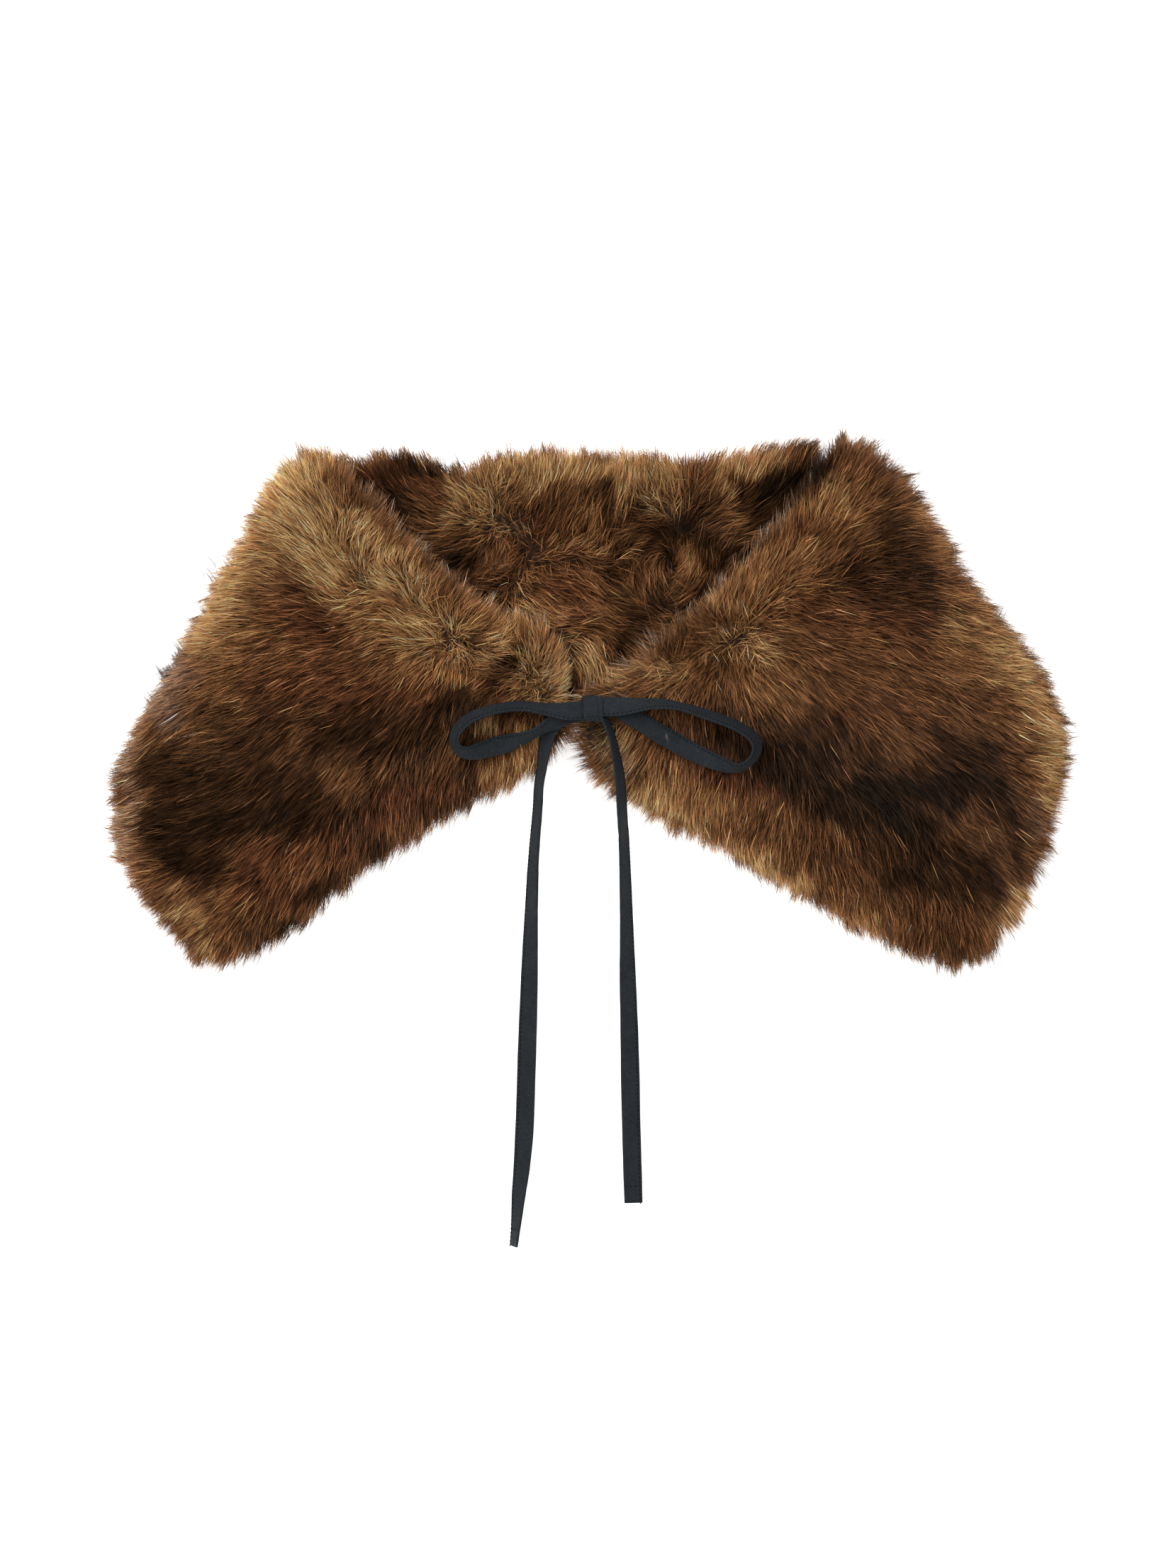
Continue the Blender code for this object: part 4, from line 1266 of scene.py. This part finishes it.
@dataclass
class Blades:
    """Hairs as slim bent blades of two triangles: a pointed root, a bend and a pointed tip."""

    roots: np.ndarray
    mids: np.ndarray
    tips: np.ndarray
    half_widths: np.ndarray
    normals: np.ndarray

    MAP_NAME = "OFBake"
    UP_SHARE = 0.7  # of straight up in the way that a blade faces
    TURN = 0.55  # how much that way strays, in radians
    SHADING = (0.55, 0.3, 0.15)  # shares of a blade's own normal, of the hair's and of the panel's
    MAP_MARGIN = 0.01
    MAP_STEP = 0.0022  # a blade's size on the map
    MAP_FIT = (0.97, 0.98)  # of the map that the blades fill

    def mesh(self, name: str, colours: np.ndarray, rng: np.random.Generator) -> bpy.types.Mesh:
        """One mesh of all the blades.

        Args:
            name: the mesh's name.
            colours: for each hair its colour at the root, the bend and the tip.
            rng: random numbers, for how far each blade is turned.

        Returns:
            The mesh, with its colours, normals and a compact map.
        """
        count = len(self.roots)
        way = unit(self.tips - self.roots)
        facing = unit(self.normals + UP * self.UP_SHARE)
        side = unit(np.cross(way, facing))
        out = unit(np.cross(side, way))
        turn = rng.normal(0.0, self.TURN, (count, 1))
        blade_side = side * np.cos(turn) + out * np.sin(turn)
        half = blade_side * self.half_widths[:, None]
        points = np.stack([self.roots, self.mids + half, self.mids - half, self.tips], 1)

        mesh = bpy.data.meshes.new(name)
        mesh.vertices.add(4 * count)
        mesh.vertices.foreach_set("co", points.astype(np.float32).ravel())
        corners = (np.arange(count)[:, None] * 4 + np.array([0, 1, 2, 2, 1, 3])).ravel()
        mesh.loops.add(6 * count)
        mesh.loops.foreach_set("vertex_index", corners.astype(np.int32))
        mesh.polygons.add(2 * count)
        mesh.polygons.foreach_set("loop_start", np.arange(2 * count, dtype=np.int32) * 3)
        mesh.update(calc_edges=True)

        self.write_shading(mesh, blade_side, out, colours)
        self.write_map(mesh)
        return mesh

    def write_shading(
        self, mesh: bpy.types.Mesh, side: np.ndarray, out: np.ndarray, colours: np.ndarray
    ) -> None:
        """Normals that follow each hair's own bend, and its colours.

        Args:
            mesh: the blades' mesh.
            side: each blade's width direction.
            out: the direction square to each hair that faces away from the panel.
            colours: colours at the root, the bend and the tip.
        """
        blade, hair, panel = self.SHADING
        normals = []
        for start, stop in ((self.roots, self.mids), (self.roots, self.tips), (self.mids, self.tips)):
            own = unit(np.cross(side, unit(stop - start)))
            normals.append(unit(own * blade + out * hair + self.normals * panel))
        stacked = np.stack([normals[0], normals[1], normals[1], normals[2]], 1)
        shading = mesh.attributes.new("custom_normal", "FLOAT_VECTOR", "POINT")
        shading.data.foreach_set("vector", stacked.astype(np.float32).ravel())
        tint = mesh.color_attributes.new(name="tint", type="FLOAT_COLOR", domain="POINT")
        rgba = np.ones((len(self.roots), 4, 4), np.float32)
        rgba[:, :, :3] = colours[:, [0, 1, 1, 2]]
        tint.data.foreach_set("color", rgba.ravel())

    def write_map(self, mesh: bpy.types.Mesh) -> None:
        """A compact map by place, with the lower halves on its left and the upper ones on its right.

        Args:
            mesh: the blades' mesh.
        """
        low, high = self.roots[:, :2].min(0), self.roots[:, :2].max(0)
        place = self.MAP_MARGIN + (1.0 - 2 * self.MAP_MARGIN) * (self.roots[:, :2] - low) / (high - low)
        corner = np.array([[0, 0], [1, 0], [0, 1], [0, 1], [1, 0], [1, 1]]) * self.MAP_STEP
        spots = place[:, None] * self.MAP_FIT + corner[None]
        spots[:, :, 0] = spots[:, :, 0] / 2 + np.array([0, 0, 0, 0.5, 0.5, 0.5])[None]
        layer = mesh.uv_layers.new(name=self.MAP_NAME)
        layer.uv.foreach_set("vector", spots.astype(np.float32).ravel())


# ---------------------------------------------------------------- ties

# Routes of the ties' centre lines: x, y, z in millimetres, and the tilt in degrees that raises the left side
LOOP_LEFT = (
    (-4.2, -4.6, 49.3, 0), (-11.0, -4.9, 49.4, 12), (-17.0, -4.6, 49.6, 34), (-24.0, -3.8, 50.2, 50),
    (-32.0, -2.6, 51.0, 59), (-40.0, -2.1, 52.2, 61), (-48.0, -3.0, 53.4, 61), (-56.0, -4.8, 54.0, 60),
    (-64.0, -7.6, 53.6, 58), (-70.8, -12.2, 52.4, 56), (-74.8, -18.4, 50.6, 60), (-74.4, -24.0, 48.4, 62),
    (-70.4, -27.2, 45.8, 52), (-66.0, -27.8, 43.6, 42), (-60.0, -26.6, 41.6, 28), (-52.0, -24.2, 40.6, 8),
    (-44.0, -22.2, 41.6, 26), (-36.0, -19.4, 44.0, 52), (-28.0, -15.8, 47.2, 66), (-20.4, -11.4, 47.2, 36),
    (-16.8, -9.2, 46.3, 12), (-13.0, -7.2, 45.9, 0), (-8.0, -5.8, 46.2, 0), (-4.2, -5.0, 46.2, 0),
)
LOOP_RIGHT = (
    (9.0, -2.4, 49.6, 0), (16.0, -2.4, 49.8, -12), (25.0, -1.8, 50.2, -36), (34.0, -0.9, 51.0, -54),
    (44.0, -1.2, 52.2, -62), (53.0, -2.8, 53.0, -65), (62.0, -5.6, 53.6, -62), (72.0, -9.0, 53.6, -60),
    (80.0, -12.0, 53.0, -58), (87.0, -15.6, 52.0, -56), (92.0, -19.8, 50.8, -56), (94.2, -25.0, 49.4, -58),
    (92.4, -30.6, 47.8, -66), (88.0, -34.8, 46.4, -70), (83.2, -36.4, 45.2, -64), (78.0, -35.6, 43.8, -48),
    (71.6, -33.4, 42.8, -34), (64.0, -30.2, 42.6, -20), (56.0, -26.4, 43.0, -8), (48.0, -22.0, 43.8, 0),
    (40.0, -17.4, 44.4, 0), (32.0, -12.4, 45.2, 0), (24.0, -7.6, 46.0, 0), (16.0, -3.0, 46.4, 0),
    (9.2, -2.4, 46.6, 0),
)
TAIL_LEFT = (
    (-4.2, -5.0, 44.2, 0), (-10.0, -5.8, 43.8, 0), (-15.6, -7.8, 42.6, 4), (-20.0, -11.6, 41.4, 12),
    (-23.0, -17.6, 40.9, 34), (-24.9, -26.0, 39.6, 50), (-26.4, -36.0, 35.6, 60), (-27.8, -44.0, 25.5, 62),
    (-28.6, -52.0, 15.5, 62), (-29.3, -62.0, 8.8, 62), (-30.4, -74.0, 5.6, 60), (-31.6, -90.0, 5.4, 57),
    (-32.3, -106.0, 5.2, 52), (-32.9, -122.0, 4.7, 46), (-33.4, -138.0, 4.1, 36), (-34.0, -160.0, 3.2, 24),
    (-34.8, -184.0, 2.1, 10), (-35.6, -208.0, 1.4, 2), (-36.6, -240.0, 1.6, 5), (-38.2, -264.0, 3.6, 28),
    (-40.0, -280.0, 4.7, 44), (-41.4, -296.0, 5.5, 60), (-42.8, -309.4, 5.8, 70),
)
TAIL_RIGHT = (
    (8.9, -8.6, 45.6, -66), (10.7, -13.0, 45.2, -70), (13.2, -20.0, 44.8, -71), (15.4, -30.0, 43.8, -66),
    (17.0, -39.0, 41.8, -62), (18.0, -48.0, 38.0, -61), (18.6, -57.0, 31.5, -60), (19.2, -66.0, 21.5, -60),
    (19.9, -75.0, 12.0, -59), (20.4, -85.0, 6.8, -57), (20.8, -97.0, 5.4, -54), (21.2, -110.0, 5.2, -52),
    (21.6, -124.0, 4.8, -47), (21.9, -138.0, 4.4, -41), (22.3, -158.0, 3.7, -30), (23.1, -184.0, 2.8, -18),
    (23.7, -210.0, 1.6, -5), (24.3, -240.0, 1.3, 0), (25.6, -285.2, 1.3, 0),
)
ROOT_LEFT = ((-4.0, -4.8, 42.1, 0), (-8.0, -4.8, 41.6, 0), (-12.6, -4.8, 40.6, 0))
ROOT_RIGHT = ((9.0, -2.1, 44.0, 0), (13.0, -2.1, 43.9, 0), (19.0, -2.1, 43.9, 0))

LOOP_TUCKS = (0.0026, 0.0026)  # how far each end of a loop runs on into the knot
TAIL_TUCKS = (0.002, 0.0)


class FarEnd(Enum):
    """Where a stretch of tie ends."""

    BARE = "bare"
    IN_KNOT = "object"


@dataclass(frozen=True)
class Stitch:
    """A stitch of thread, in metres."""

    length: float = 0.0015
    radius: float = 0.0003
    spread: float = 1.4  # of its width against its height
    pitch: float = 0.0024  # from one to the next along a row

    def add(self, body: bmesh.types.BMesh, centre: np.ndarray, way: np.ndarray) -> None:
        """Adds one stitch: a six-sided bead, thin at its ends.

        Args:
            body: the mesh that takes it.
            centre: its middle, on the cloth.
            way: the direction of its row.
        """
        turn = Vector(way).to_track_quat("X", "Z").to_matrix().to_4x4()
        turn.translation = Vector(centre)
        bead = bmesh.ops.create_uvsphere(body, u_segments=6, v_segments=3, radius=1.0)
        for vert in bead["verts"]:
            x, y, z = vert.co
            vert.co = turn @ Vector((z * self.length / 2, y * self.radius * self.spread, x * self.radius))


STITCH = Stitch()


@dataclass(frozen=True)
class TieStretch:
    """A stretch of flat cotton tie along its route: a turned strip with its row of topstitching."""

    node: str
    route: tuple[tuple[float, float, float, float], ...]
    stitched_side: int  # 1 for the left edge, -1 for the right edge, seen from its start
    far_end: FarEnd = FarEnd.IN_KNOT
    length: float = 0.0  # real length; 0 for the short roots, which lie under the knot
    tucks: tuple[float, float] = (0.0, 0.0)  # how far each end runs on into the knot

    WIDTH = 0.0108
    THICKNESS = 0.0016
    THINNING = 0.00012  # of half its thickness, for the cloth's waves
    STEP = 0.0022
    ROUGH_POINTS = 80  # for a first measure of the route
    FEWEST_POINTS = 6
    WIDTH_WAVE = (0.022, 0.015)  # a swell: its size, and its depth as a share of the width
    FACE_WAVE = (0.009, 0.00009)
    END_BULGE = 0.0001  # of each end's middle past its edge
    STITCH_INSET = 0.0014
    STITCH_LIFT = 0.1  # of a stitch's radius, over the cloth
    STITCH_FLOOR = 0.0002  # that a stitch keeps from the floor
    HEM_BACK = 0.009  # from a bare end to the stitching that closes it
    HEM_STITCHES = 4
    HEM_REACH = 0.75  # of the half width

    def frames(self, count: int) -> tuple[np.ndarray, np.ndarray, np.ndarray, np.ndarray]:
        """The centre line and its directions.

        Args:
            count: how many points along the line.

        Returns:
            Points, directions of travel, left sides and upper sides.
        """
        line = smooth_line(np.array(self.route, float), count)
        points = line[:, :3] * MM
        travel = unit(np.gradient(points, axis=0))
        level = unit(np.cross(UP, travel))
        rise = np.cross(travel, level)
        tilt = np.radians(line[:, 3])[:, None]
        left = level * np.cos(tilt) + rise * np.sin(tilt)
        return points, travel, left, np.cross(travel, left)

    def points_along(self, pitch: float) -> int:
        """How many points the line has.

        Args:
            pitch: the spacing that they keep to.

        Returns:
            Their number.
        """
        rough = smooth_line(np.array(self.route, float), self.ROUGH_POINTS)[:, :3] * MM
        span = float(np.linalg.norm(np.diff(rough, axis=0), axis=1).sum())
        return max(self.FEWEST_POINTS, round(span / pitch) + 1)

    def profile(self) -> np.ndarray:
        """The strip's section, with the two turned-in layers as a shallow nick along the stitched edge.

        Returns:
            Rows of across and up, as shares of the half width and the half thickness.
        """
        upper = [(-1.0, 0.12), (-0.985, 0.55), (-0.95, 0.85), (-0.88, 1.0), (-0.70, 0.93), (-0.4, 1.0)]
        upper += [(0.0, 1.0), (0.4, 1.0), (0.70, 0.98), (0.88, 1.0), (0.95, 0.85), (0.985, 0.5)]
        lower = [(1.0, 0.0)] + [(x, -y) for x, y in reversed(upper[:-1])]
        section = np.array([*upper, *lower[:-1], (-0.96, 0.0)])
        return section * (-self.stitched_side, 1.0)

    def build(
        self, finishes: Finishes, rng: np.random.Generator
    ) -> tuple[bpy.types.Object, bpy.types.Object]:
        """Builds the strip and its stitching.

        Args:
            finishes: the materials.
            rng: random numbers for the slight waves of the cloth.

        Returns:
            The strip and the stitches on it.
        """
        name = self.node + "_cotton"
        mesh = mesh_of(name, *self.strip(rng))
        mesh.materials.append(finishes.cotton)
        strip = new_object(name, mesh)
        stitches = self.make_stitches(finishes.thread)
        dress([strip, stitches])
        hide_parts(self.node)
        return strip, stitches

    def strip(self, rng: np.random.Generator) -> tuple[np.ndarray, list[tuple[int, ...]]]:
        """The strip's shape.

        Args:
            rng: random numbers for the slight waves of the cloth.

        Returns:
            Its points and its faces.
        """
        count = self.points_along(self.STEP)
        points, travel, left, up = self.frames(count)
        points[0] -= travel[0] * self.tucks[0]
        points[-1] += travel[-1] * self.tucks[1]
        section = self.profile()
        sides = len(section)
        wide, wave = Ripple(rng, *self.WIDTH_WAVE), Ripple(rng, *self.FACE_WAVE)
        half = (self.WIDTH / 2 * (1.0 - wide.depth + wide.at(points)))[:, None, None]
        swell = wave.at(points)[:, None, None]
        across, rise = section[None, :, :1], section[None, :, 1:]
        ring = points[:, None] + left[:, None] * across * half
        ring = ring + up[:, None] * (rise * (self.THICKNESS / 2 - self.THINNING) + swell * np.sign(rise))
        ring[:, :, 2] = np.maximum(ring[:, :, 2], FLOOR_CLEARANCE)
        ends = np.stack([points[0] - travel[0] * self.END_BULGE, points[-1] + travel[-1] * self.END_BULGE])
        faces = []
        for start in range(0, (count - 1) * sides, sides):
            for k in range(sides):
                n = (k + 1) % sides
                faces.append((start + k, start + n, start + sides + n, start + sides + k))
        for end, start in ((count * sides, 0), (count * sides + 1, (count - 1) * sides)):
            faces += [(end, start + k, start + (k + 1) % sides) for k in range(sides)]
        return np.vstack([ring.reshape(-1, 3), ends]), faces

    def make_stitches(self, material: bpy.types.Material) -> bpy.types.Object:
        """A row of stitches along the stitched edge, seen on both faces, and the hem of a bare end.

        Args:
            material: the thread.

        Returns:
            The stitches.
        """
        points, travel, left, up = self.frames(self.points_along(STITCH.pitch))
        inset = left * self.stitched_side * (self.WIDTH / 2 - self.STITCH_INSET)
        body = bmesh.new()
        for face in (1, -1):
            lift = up * face * (self.THICKNESS / 2 + STITCH.radius * self.STITCH_LIFT)
            for centre, way in zip(points + inset + lift, travel):
                if centre[2] > STITCH.radius + self.STITCH_FLOOR:
                    STITCH.add(body, centre, way)
        if self.far_end is FarEnd.BARE:
            row = len(points) - 1 - round(self.HEM_BACK / STITCH.pitch)
            for share in np.linspace(-self.HEM_REACH, self.HEM_REACH, self.HEM_STITCHES):
                centre = points[row] + left[row] * share * self.WIDTH / 2 + up[row] * self.THICKNESS / 2
                STITCH.add(body, centre, left[row])
        return stitched_mesh(self.node + "_stitches", body, material)

    def declare(self, strip: bpy.types.Object, with_pieces: list[bpy.types.Object]) -> None:
        """Does nothing: the strip is left as it is.

        Args:
            strip: the strip; not used.
            with_pieces: what goes with it; not used.
        """


@dataclass(frozen=True)
class Knot:
    """The bow's knot: one turn of tie round the loops, pinched where they run into it."""

    node: str = "tie_knot"
    centre: tuple[float, float, float] = (0.0021, -0.0033, 0.0469)
    size: tuple[float, float, float] = (0.0118, 0.0146, 0.0092)
    rings: int = 40
    spokes: int = 48
    roundness: tuple[float, float] = (0.66, 0.78)  # of its section, along y and up; 1 is an ellipse's
    shoulder_from: float = 0.62  # as a share of the knot's half length
    shoulder_drop: float = 0.14
    brink_from: float = 0.76  # as a share of its shoulder
    brink_drop: float = 0.5
    brink_curve: float = 1.2
    lean: float = 0.0007  # of its upper side to the right, at its left end
    right_lean: float = 0.4  # of that, at its right end
    fold_depth: float = 0.0006
    fold_width: float = 0.10  # as a share of the knot's half length
    fold_from: float = 0.38  # where the fold starts at the neck side, from -1 on the left to 1 on the right
    fold_to: float = 0.80
    fold_lip: float = 0.5  # how much of its depth the cloth rises beside it
    stitches: int = 4
    stitch_line: float = -0.0077  # y of the row of stitches
    ray_from: float = 0.2  # height from which the stitches are set down

    def point(self, share: float, angle: float) -> tuple[float, float, float]:
        """A point of the knot.

        Args:
            share: where along the knot, from -1 on the left to 1 on the right.
            angle: where round it, in radians from the neck side.

        Returns:
            The point about the knot's centre.
        """
        cosine, sine = math.cos(angle), math.sin(angle)
        shoulder = max(0.0, abs(share) - self.shoulder_from) / (1.0 - self.shoulder_from)
        brink = max(0.0, shoulder - self.brink_from)
        narrow = 1.0 - self.shoulder_drop * shoulder**2 - self.brink_drop * brink**self.brink_curve
        y = math.copysign(abs(cosine) ** self.roundness[0], cosine) * self.size[1] / 2
        z = math.copysign(abs(sine) ** self.roundness[1], sine) * self.size[2] / 2
        fold_at = self.fold_from + (self.fold_to - self.fold_from) * (1.0 - cosine) / 2
        past = (share - fold_at) / self.fold_width
        fold = math.exp(-(past**2)) - self.fold_lip * math.exp(-((past + 2) ** 2))
        radius = math.hypot(y, z)
        scale = narrow * (radius - self.fold_depth * fold) / radius
        lean = self.lean * sine * (1.0 if share < 0 else self.right_lean)
        return (share * self.size[0] / 2 + lean * abs(share), y * scale, z * scale)

    def build(self, finishes: Finishes) -> list[bpy.types.Object]:
        """Builds the knot and its stitches.

        Args:
            finishes: the materials.

        Returns:
            The knot and its stitches.
        """
        points, faces = [], []
        for i in range(self.rings + 1):
            share = -math.cos(math.pi * i / self.rings)
            points += [self.point(share, 2 * math.pi * k / self.spokes) for k in range(self.spokes)]
        for i in range(self.rings):
            for k in range(self.spokes):
                n = (k + 1) % self.spokes
                row, after = i * self.spokes, (i + 1) * self.spokes
                faces.append((row + k, row + n, after + n, after + k))
        last = self.rings * self.spokes
        faces.append(tuple(range(self.spokes)))
        faces.append(tuple(last + k for k in range(self.spokes)))
        name = self.node + "_cotton"
        mesh = mesh_of(name, np.array(points) + np.array(self.centre), faces)
        mesh.materials.append(finishes.cotton)
        knot = new_object(name, mesh)
        made = [knot, self.make_stitches(mesh, finishes.thread)]
        dress(made)
        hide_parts(self.node)
        return made

    def make_stitches(self, mesh: bpy.types.Mesh, material: bpy.types.Material) -> bpy.types.Object:
        """The row of stitches along the turn's lower edge, set on the knot's surface.

        Args:
            mesh: the knot's mesh.
            material: the thread.

        Returns:
            The stitches.
        """
        tree = BVHTree.FromPolygons([v.co for v in mesh.vertices], [tuple(p.vertices) for p in mesh.polygons])
        body = bmesh.new()
        for i in range(self.stitches):
            x = self.centre[0] + (i - self.stitches / 2) * STITCH.pitch
            spot = tree.ray_cast(Vector((x, self.stitch_line, self.ray_from)), Vector((0.0, 0.0, -1.0)))[0]
            if spot is not None:
                STITCH.add(body, np.array(spot), np.array([1.0, 0.0, 0.0]))
        return stitched_mesh(self.node + "_stitches", body, material)


@dataclass(frozen=True)
class Bow:
    """Both ties, tied in a bow, with their tails."""

    loop_left: TieStretch = TieStretch("tie_loop_left", LOOP_LEFT, 1, length=0.161, tucks=LOOP_TUCKS)
    loop_right: TieStretch = TieStretch("tie_loop_right", LOOP_RIGHT, -1, length=0.194, tucks=LOOP_TUCKS)
    tail_left: TieStretch = TieStretch("tie_tail_left", TAIL_LEFT, -1, FarEnd.BARE, 0.331, TAIL_TUCKS)
    tail_right: TieStretch = TieStretch("tie_tail_right", TAIL_RIGHT, 1, FarEnd.BARE, 0.291, TAIL_TUCKS)
    root_left: TieStretch = TieStretch("tie_root_left", ROOT_LEFT, 1)
    root_right: TieStretch = TieStretch("tie_root_right", ROOT_RIGHT, -1)
    knot: Knot = Knot()
    seed: int = 7

    HAIR_CLEARANCE = 0.0014  # from a tie's centre line down to the hair under it
    CLEAR_STEP = 0.002  # between the points that hair stays under
    CLEAR_SHARES = (-0.8, -0.4, 0.0, 0.4, 0.8)  # of the half width, where they lie
    CLEAR_REACH = 0.0018  # of each one

    def stretches(self) -> list[TieStretch]:
        """Every stretch of tie."""
        loops, tails = [self.loop_left, self.loop_right], [self.tail_left, self.tail_right]
        return [*loops, *tails, self.root_left, self.root_right]

    def keep_clear(self) -> np.ndarray:
        """Points under the ties, where they lie on fur.

        Returns:
            A row for each point: its place, and the half width that it covers.
        """
        rows = []
        for stretch in self.stretches():
            points, _, left, _ = stretch.frames(stretch.points_along(self.CLEAR_STEP))
            for share in self.CLEAR_SHARES:
                under = points + left * share * stretch.WIDTH / 2 - UP * self.HAIR_CLEARANCE
                rows.append(np.column_stack([under, np.full(len(under), self.CLEAR_REACH)]))
        stacked = np.vstack(rows)
        return stacked[stacked[:, 2] > TIE_LEVEL]

    def build(self, finishes: Finishes) -> list[bpy.types.Object]:
        """Args:
            finishes: the materials.

        Returns:
            Every piece of the bow.
        """
        rng = np.random.default_rng(self.seed)
        knots = self.knot.build(finishes)
        made = {stretch.node: stretch.build(finishes, rng) for stretch in self.stretches()}
        carried = {
            self.loop_left.node: [*made[self.root_left.node], *knots],
            self.loop_right.node: [*made[self.root_right.node]],
        }
        for stretch in self.stretches():
            if stretch.length:
                strip, stitches = made[stretch.node]
                stretch.declare(strip, [stitches, *carried.get(stretch.node, [])])
        return [*knots, *(piece for pair in made.values() for piece in pair)]


# ---------------------------------------------------------------- studio


@dataclass(frozen=True)
class SoftLight:
    """A square soft light that points at the wrap."""

    name: str
    place: tuple[float, float, float]
    width: float
    power: float

    def add(self) -> None:
        """Puts the light in the scene."""
        data = bpy.data.lights.new(self.name, "AREA")
        data.size = self.width
        data.energy = self.power
        light = bpy.data.objects.new(self.name, data)
        light.location = self.place
        light.rotation_euler = (-Vector(self.place)).to_track_quat("-Z", "Y").to_euler()
        bpy.context.scene.collection.objects.link(light)


@dataclass(frozen=True)
class Studio:
    """The pale floor, the soft lights and the camera straight above."""

    frame_centre: tuple[float, float] = (-0.0004, -0.0456)
    frame_height: float = 0.8848
    frame_level: float = 0.03  # height at which the frame is that high
    lens: float = 85.0
    sensor: float = 36.0
    floor_size: float = 40.0
    floor_grey: int = 247
    floor_roughness: float = 0.9
    floor_specular: float = 0.1
    floor_glow: float = 0.8
    key: SoftLight = SoftLight("key", (-0.95, 0.9, 1.85), 1.5, 40.0)
    fill: SoftLight = SoftLight("fill", (1.5, -0.9, 1.5), 1.8, 8.0)
    sky: float = 0.52

    def build(self) -> None:
        """Makes the floor, the lights, the sky and the camera."""
        bpy.context.scene.view_settings.view_transform = "Standard"
        self.add_floor()
        self.key.add()
        self.fill.add()
        self.add_sky()
        self.add_camera()

    def add_floor(self) -> None:
        """A plain floor that glows a little, so that it stays pale."""
        half = self.floor_size / 2
        corners = [(-half, -half, 0.0), (half, -half, 0.0), (half, half, 0.0), (-half, half, 0.0)]
        mesh = bpy.data.meshes.new("floor")
        mesh.from_pydata(corners, [], [(0, 1, 2, 3)])
        paper = bpy.data.materials.new("floor_paper")
        paper.use_nodes = True
        shader = paper.node_tree.nodes["Principled BSDF"]
        for key, value in (
            ("Base Color", opaque(*[self.floor_grey] * 3)),
            ("Roughness", self.floor_roughness),
            ("Specular IOR Level", self.floor_specular),
            ("Emission Color", opaque(255, 255, 255)),
            ("Emission Strength", self.floor_glow),
        ):
            shader.inputs[key].default_value = value
        mesh.materials.append(paper)
        new_object("floor", mesh)

    def add_sky(self) -> None:
        """White light from all round."""
        world = bpy.data.worlds.new("soft_sky")
        world.use_nodes = True
        background = world.node_tree.nodes["Background"]
        background.inputs["Color"].default_value = opaque(255, 255, 255)
        background.inputs["Strength"].default_value = self.sky
        bpy.context.scene.world = world

    def add_camera(self) -> None:
        """A long lens straight above, upright to the neck edge."""
        data = bpy.data.cameras.new("camera")
        data.sensor_fit = "VERTICAL"
        data.sensor_height = self.sensor
        data.lens = self.lens
        camera = bpy.data.objects.new("camera", data)
        away = self.frame_height * self.lens / self.sensor
        camera.location = (*self.frame_centre, self.frame_level + away)
        bpy.context.scene.collection.objects.link(camera)
        bpy.context.scene.camera = camera


# ---------------------------------------------------------------- the wrap


def panels() -> list[FurPanel]:
    """The three panels of the band.

    Returns:
        The back band, then the left and the right front.
    """
    back = FurPanel(
        node="back_band",
        combs=BACK_COMBS,
        strokes=BACK_STROKES,
        hairs=95000,
        pieces=("back_band_fur",),
        flat=(0.46, 0.155),
        flat_area=0.062,
        held="laid",
        rests_on=(),
        seed=11,
        fuller=((70, 140, 55, 3),),
    )
    left = FurPanel(
        node="front_left",
        combs=LEFT_COMBS,
        strokes=LEFT_STROKES,
        hairs=186000,
        pieces=("front_left_fur_outer", "front_left_fur_inner"),
        flat=(0.24, 0.26),
        flat_area=0.046,
        held="folded",
        rests_on=("back_band",),
        seed=23,
        fuller=((-18, -13, 9, 9), (-262, -88, 22, 3), (-232, -132, 22, 3), (-165, 132, 14, 4)),
    )
    right = FurPanel(
        node="front_right",
        combs=RIGHT_COMBS,
        strokes=RIGHT_STROKES,
        hairs=192000,
        pieces=("front_right_fur_inner", "front_right_fur_outer"),
        flat=(0.26, 0.27),
        flat_area=0.052,
        held="folded",
        rests_on=("back_band",),
        seed=37,
        fuller=((-8, -12, 9, 9), (20, -50, 22, -4), (258, -92, 22, 4), (240, -122, 24, 6), (164, 138, 10, 3)),
        patchiness=0.6,
    )
    return [back, left, right]


def main() -> None:
    """Builds the studio, the bow and each panel in order."""
    logging.basicConfig(level=logging.INFO, format="%(message)s")
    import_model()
    Studio().build()
    finishes = Finishes()
    bow = Bow()
    for piece in bow.build(finishes):
        log.info("%s: %d faces", piece.name, len(piece.data.polygons))
    parts = panels()
    for panel in parts:
        others = [other.surface.tree for other in parts if other is not panel]
        for piece in panel.build(others, finishes, bow.keep_clear()):
            log.info("%s: %d faces", piece.name, len(piece.data.polygons))
    bpy.context.view_layer.update()


if __name__ == "__main__":
    main()
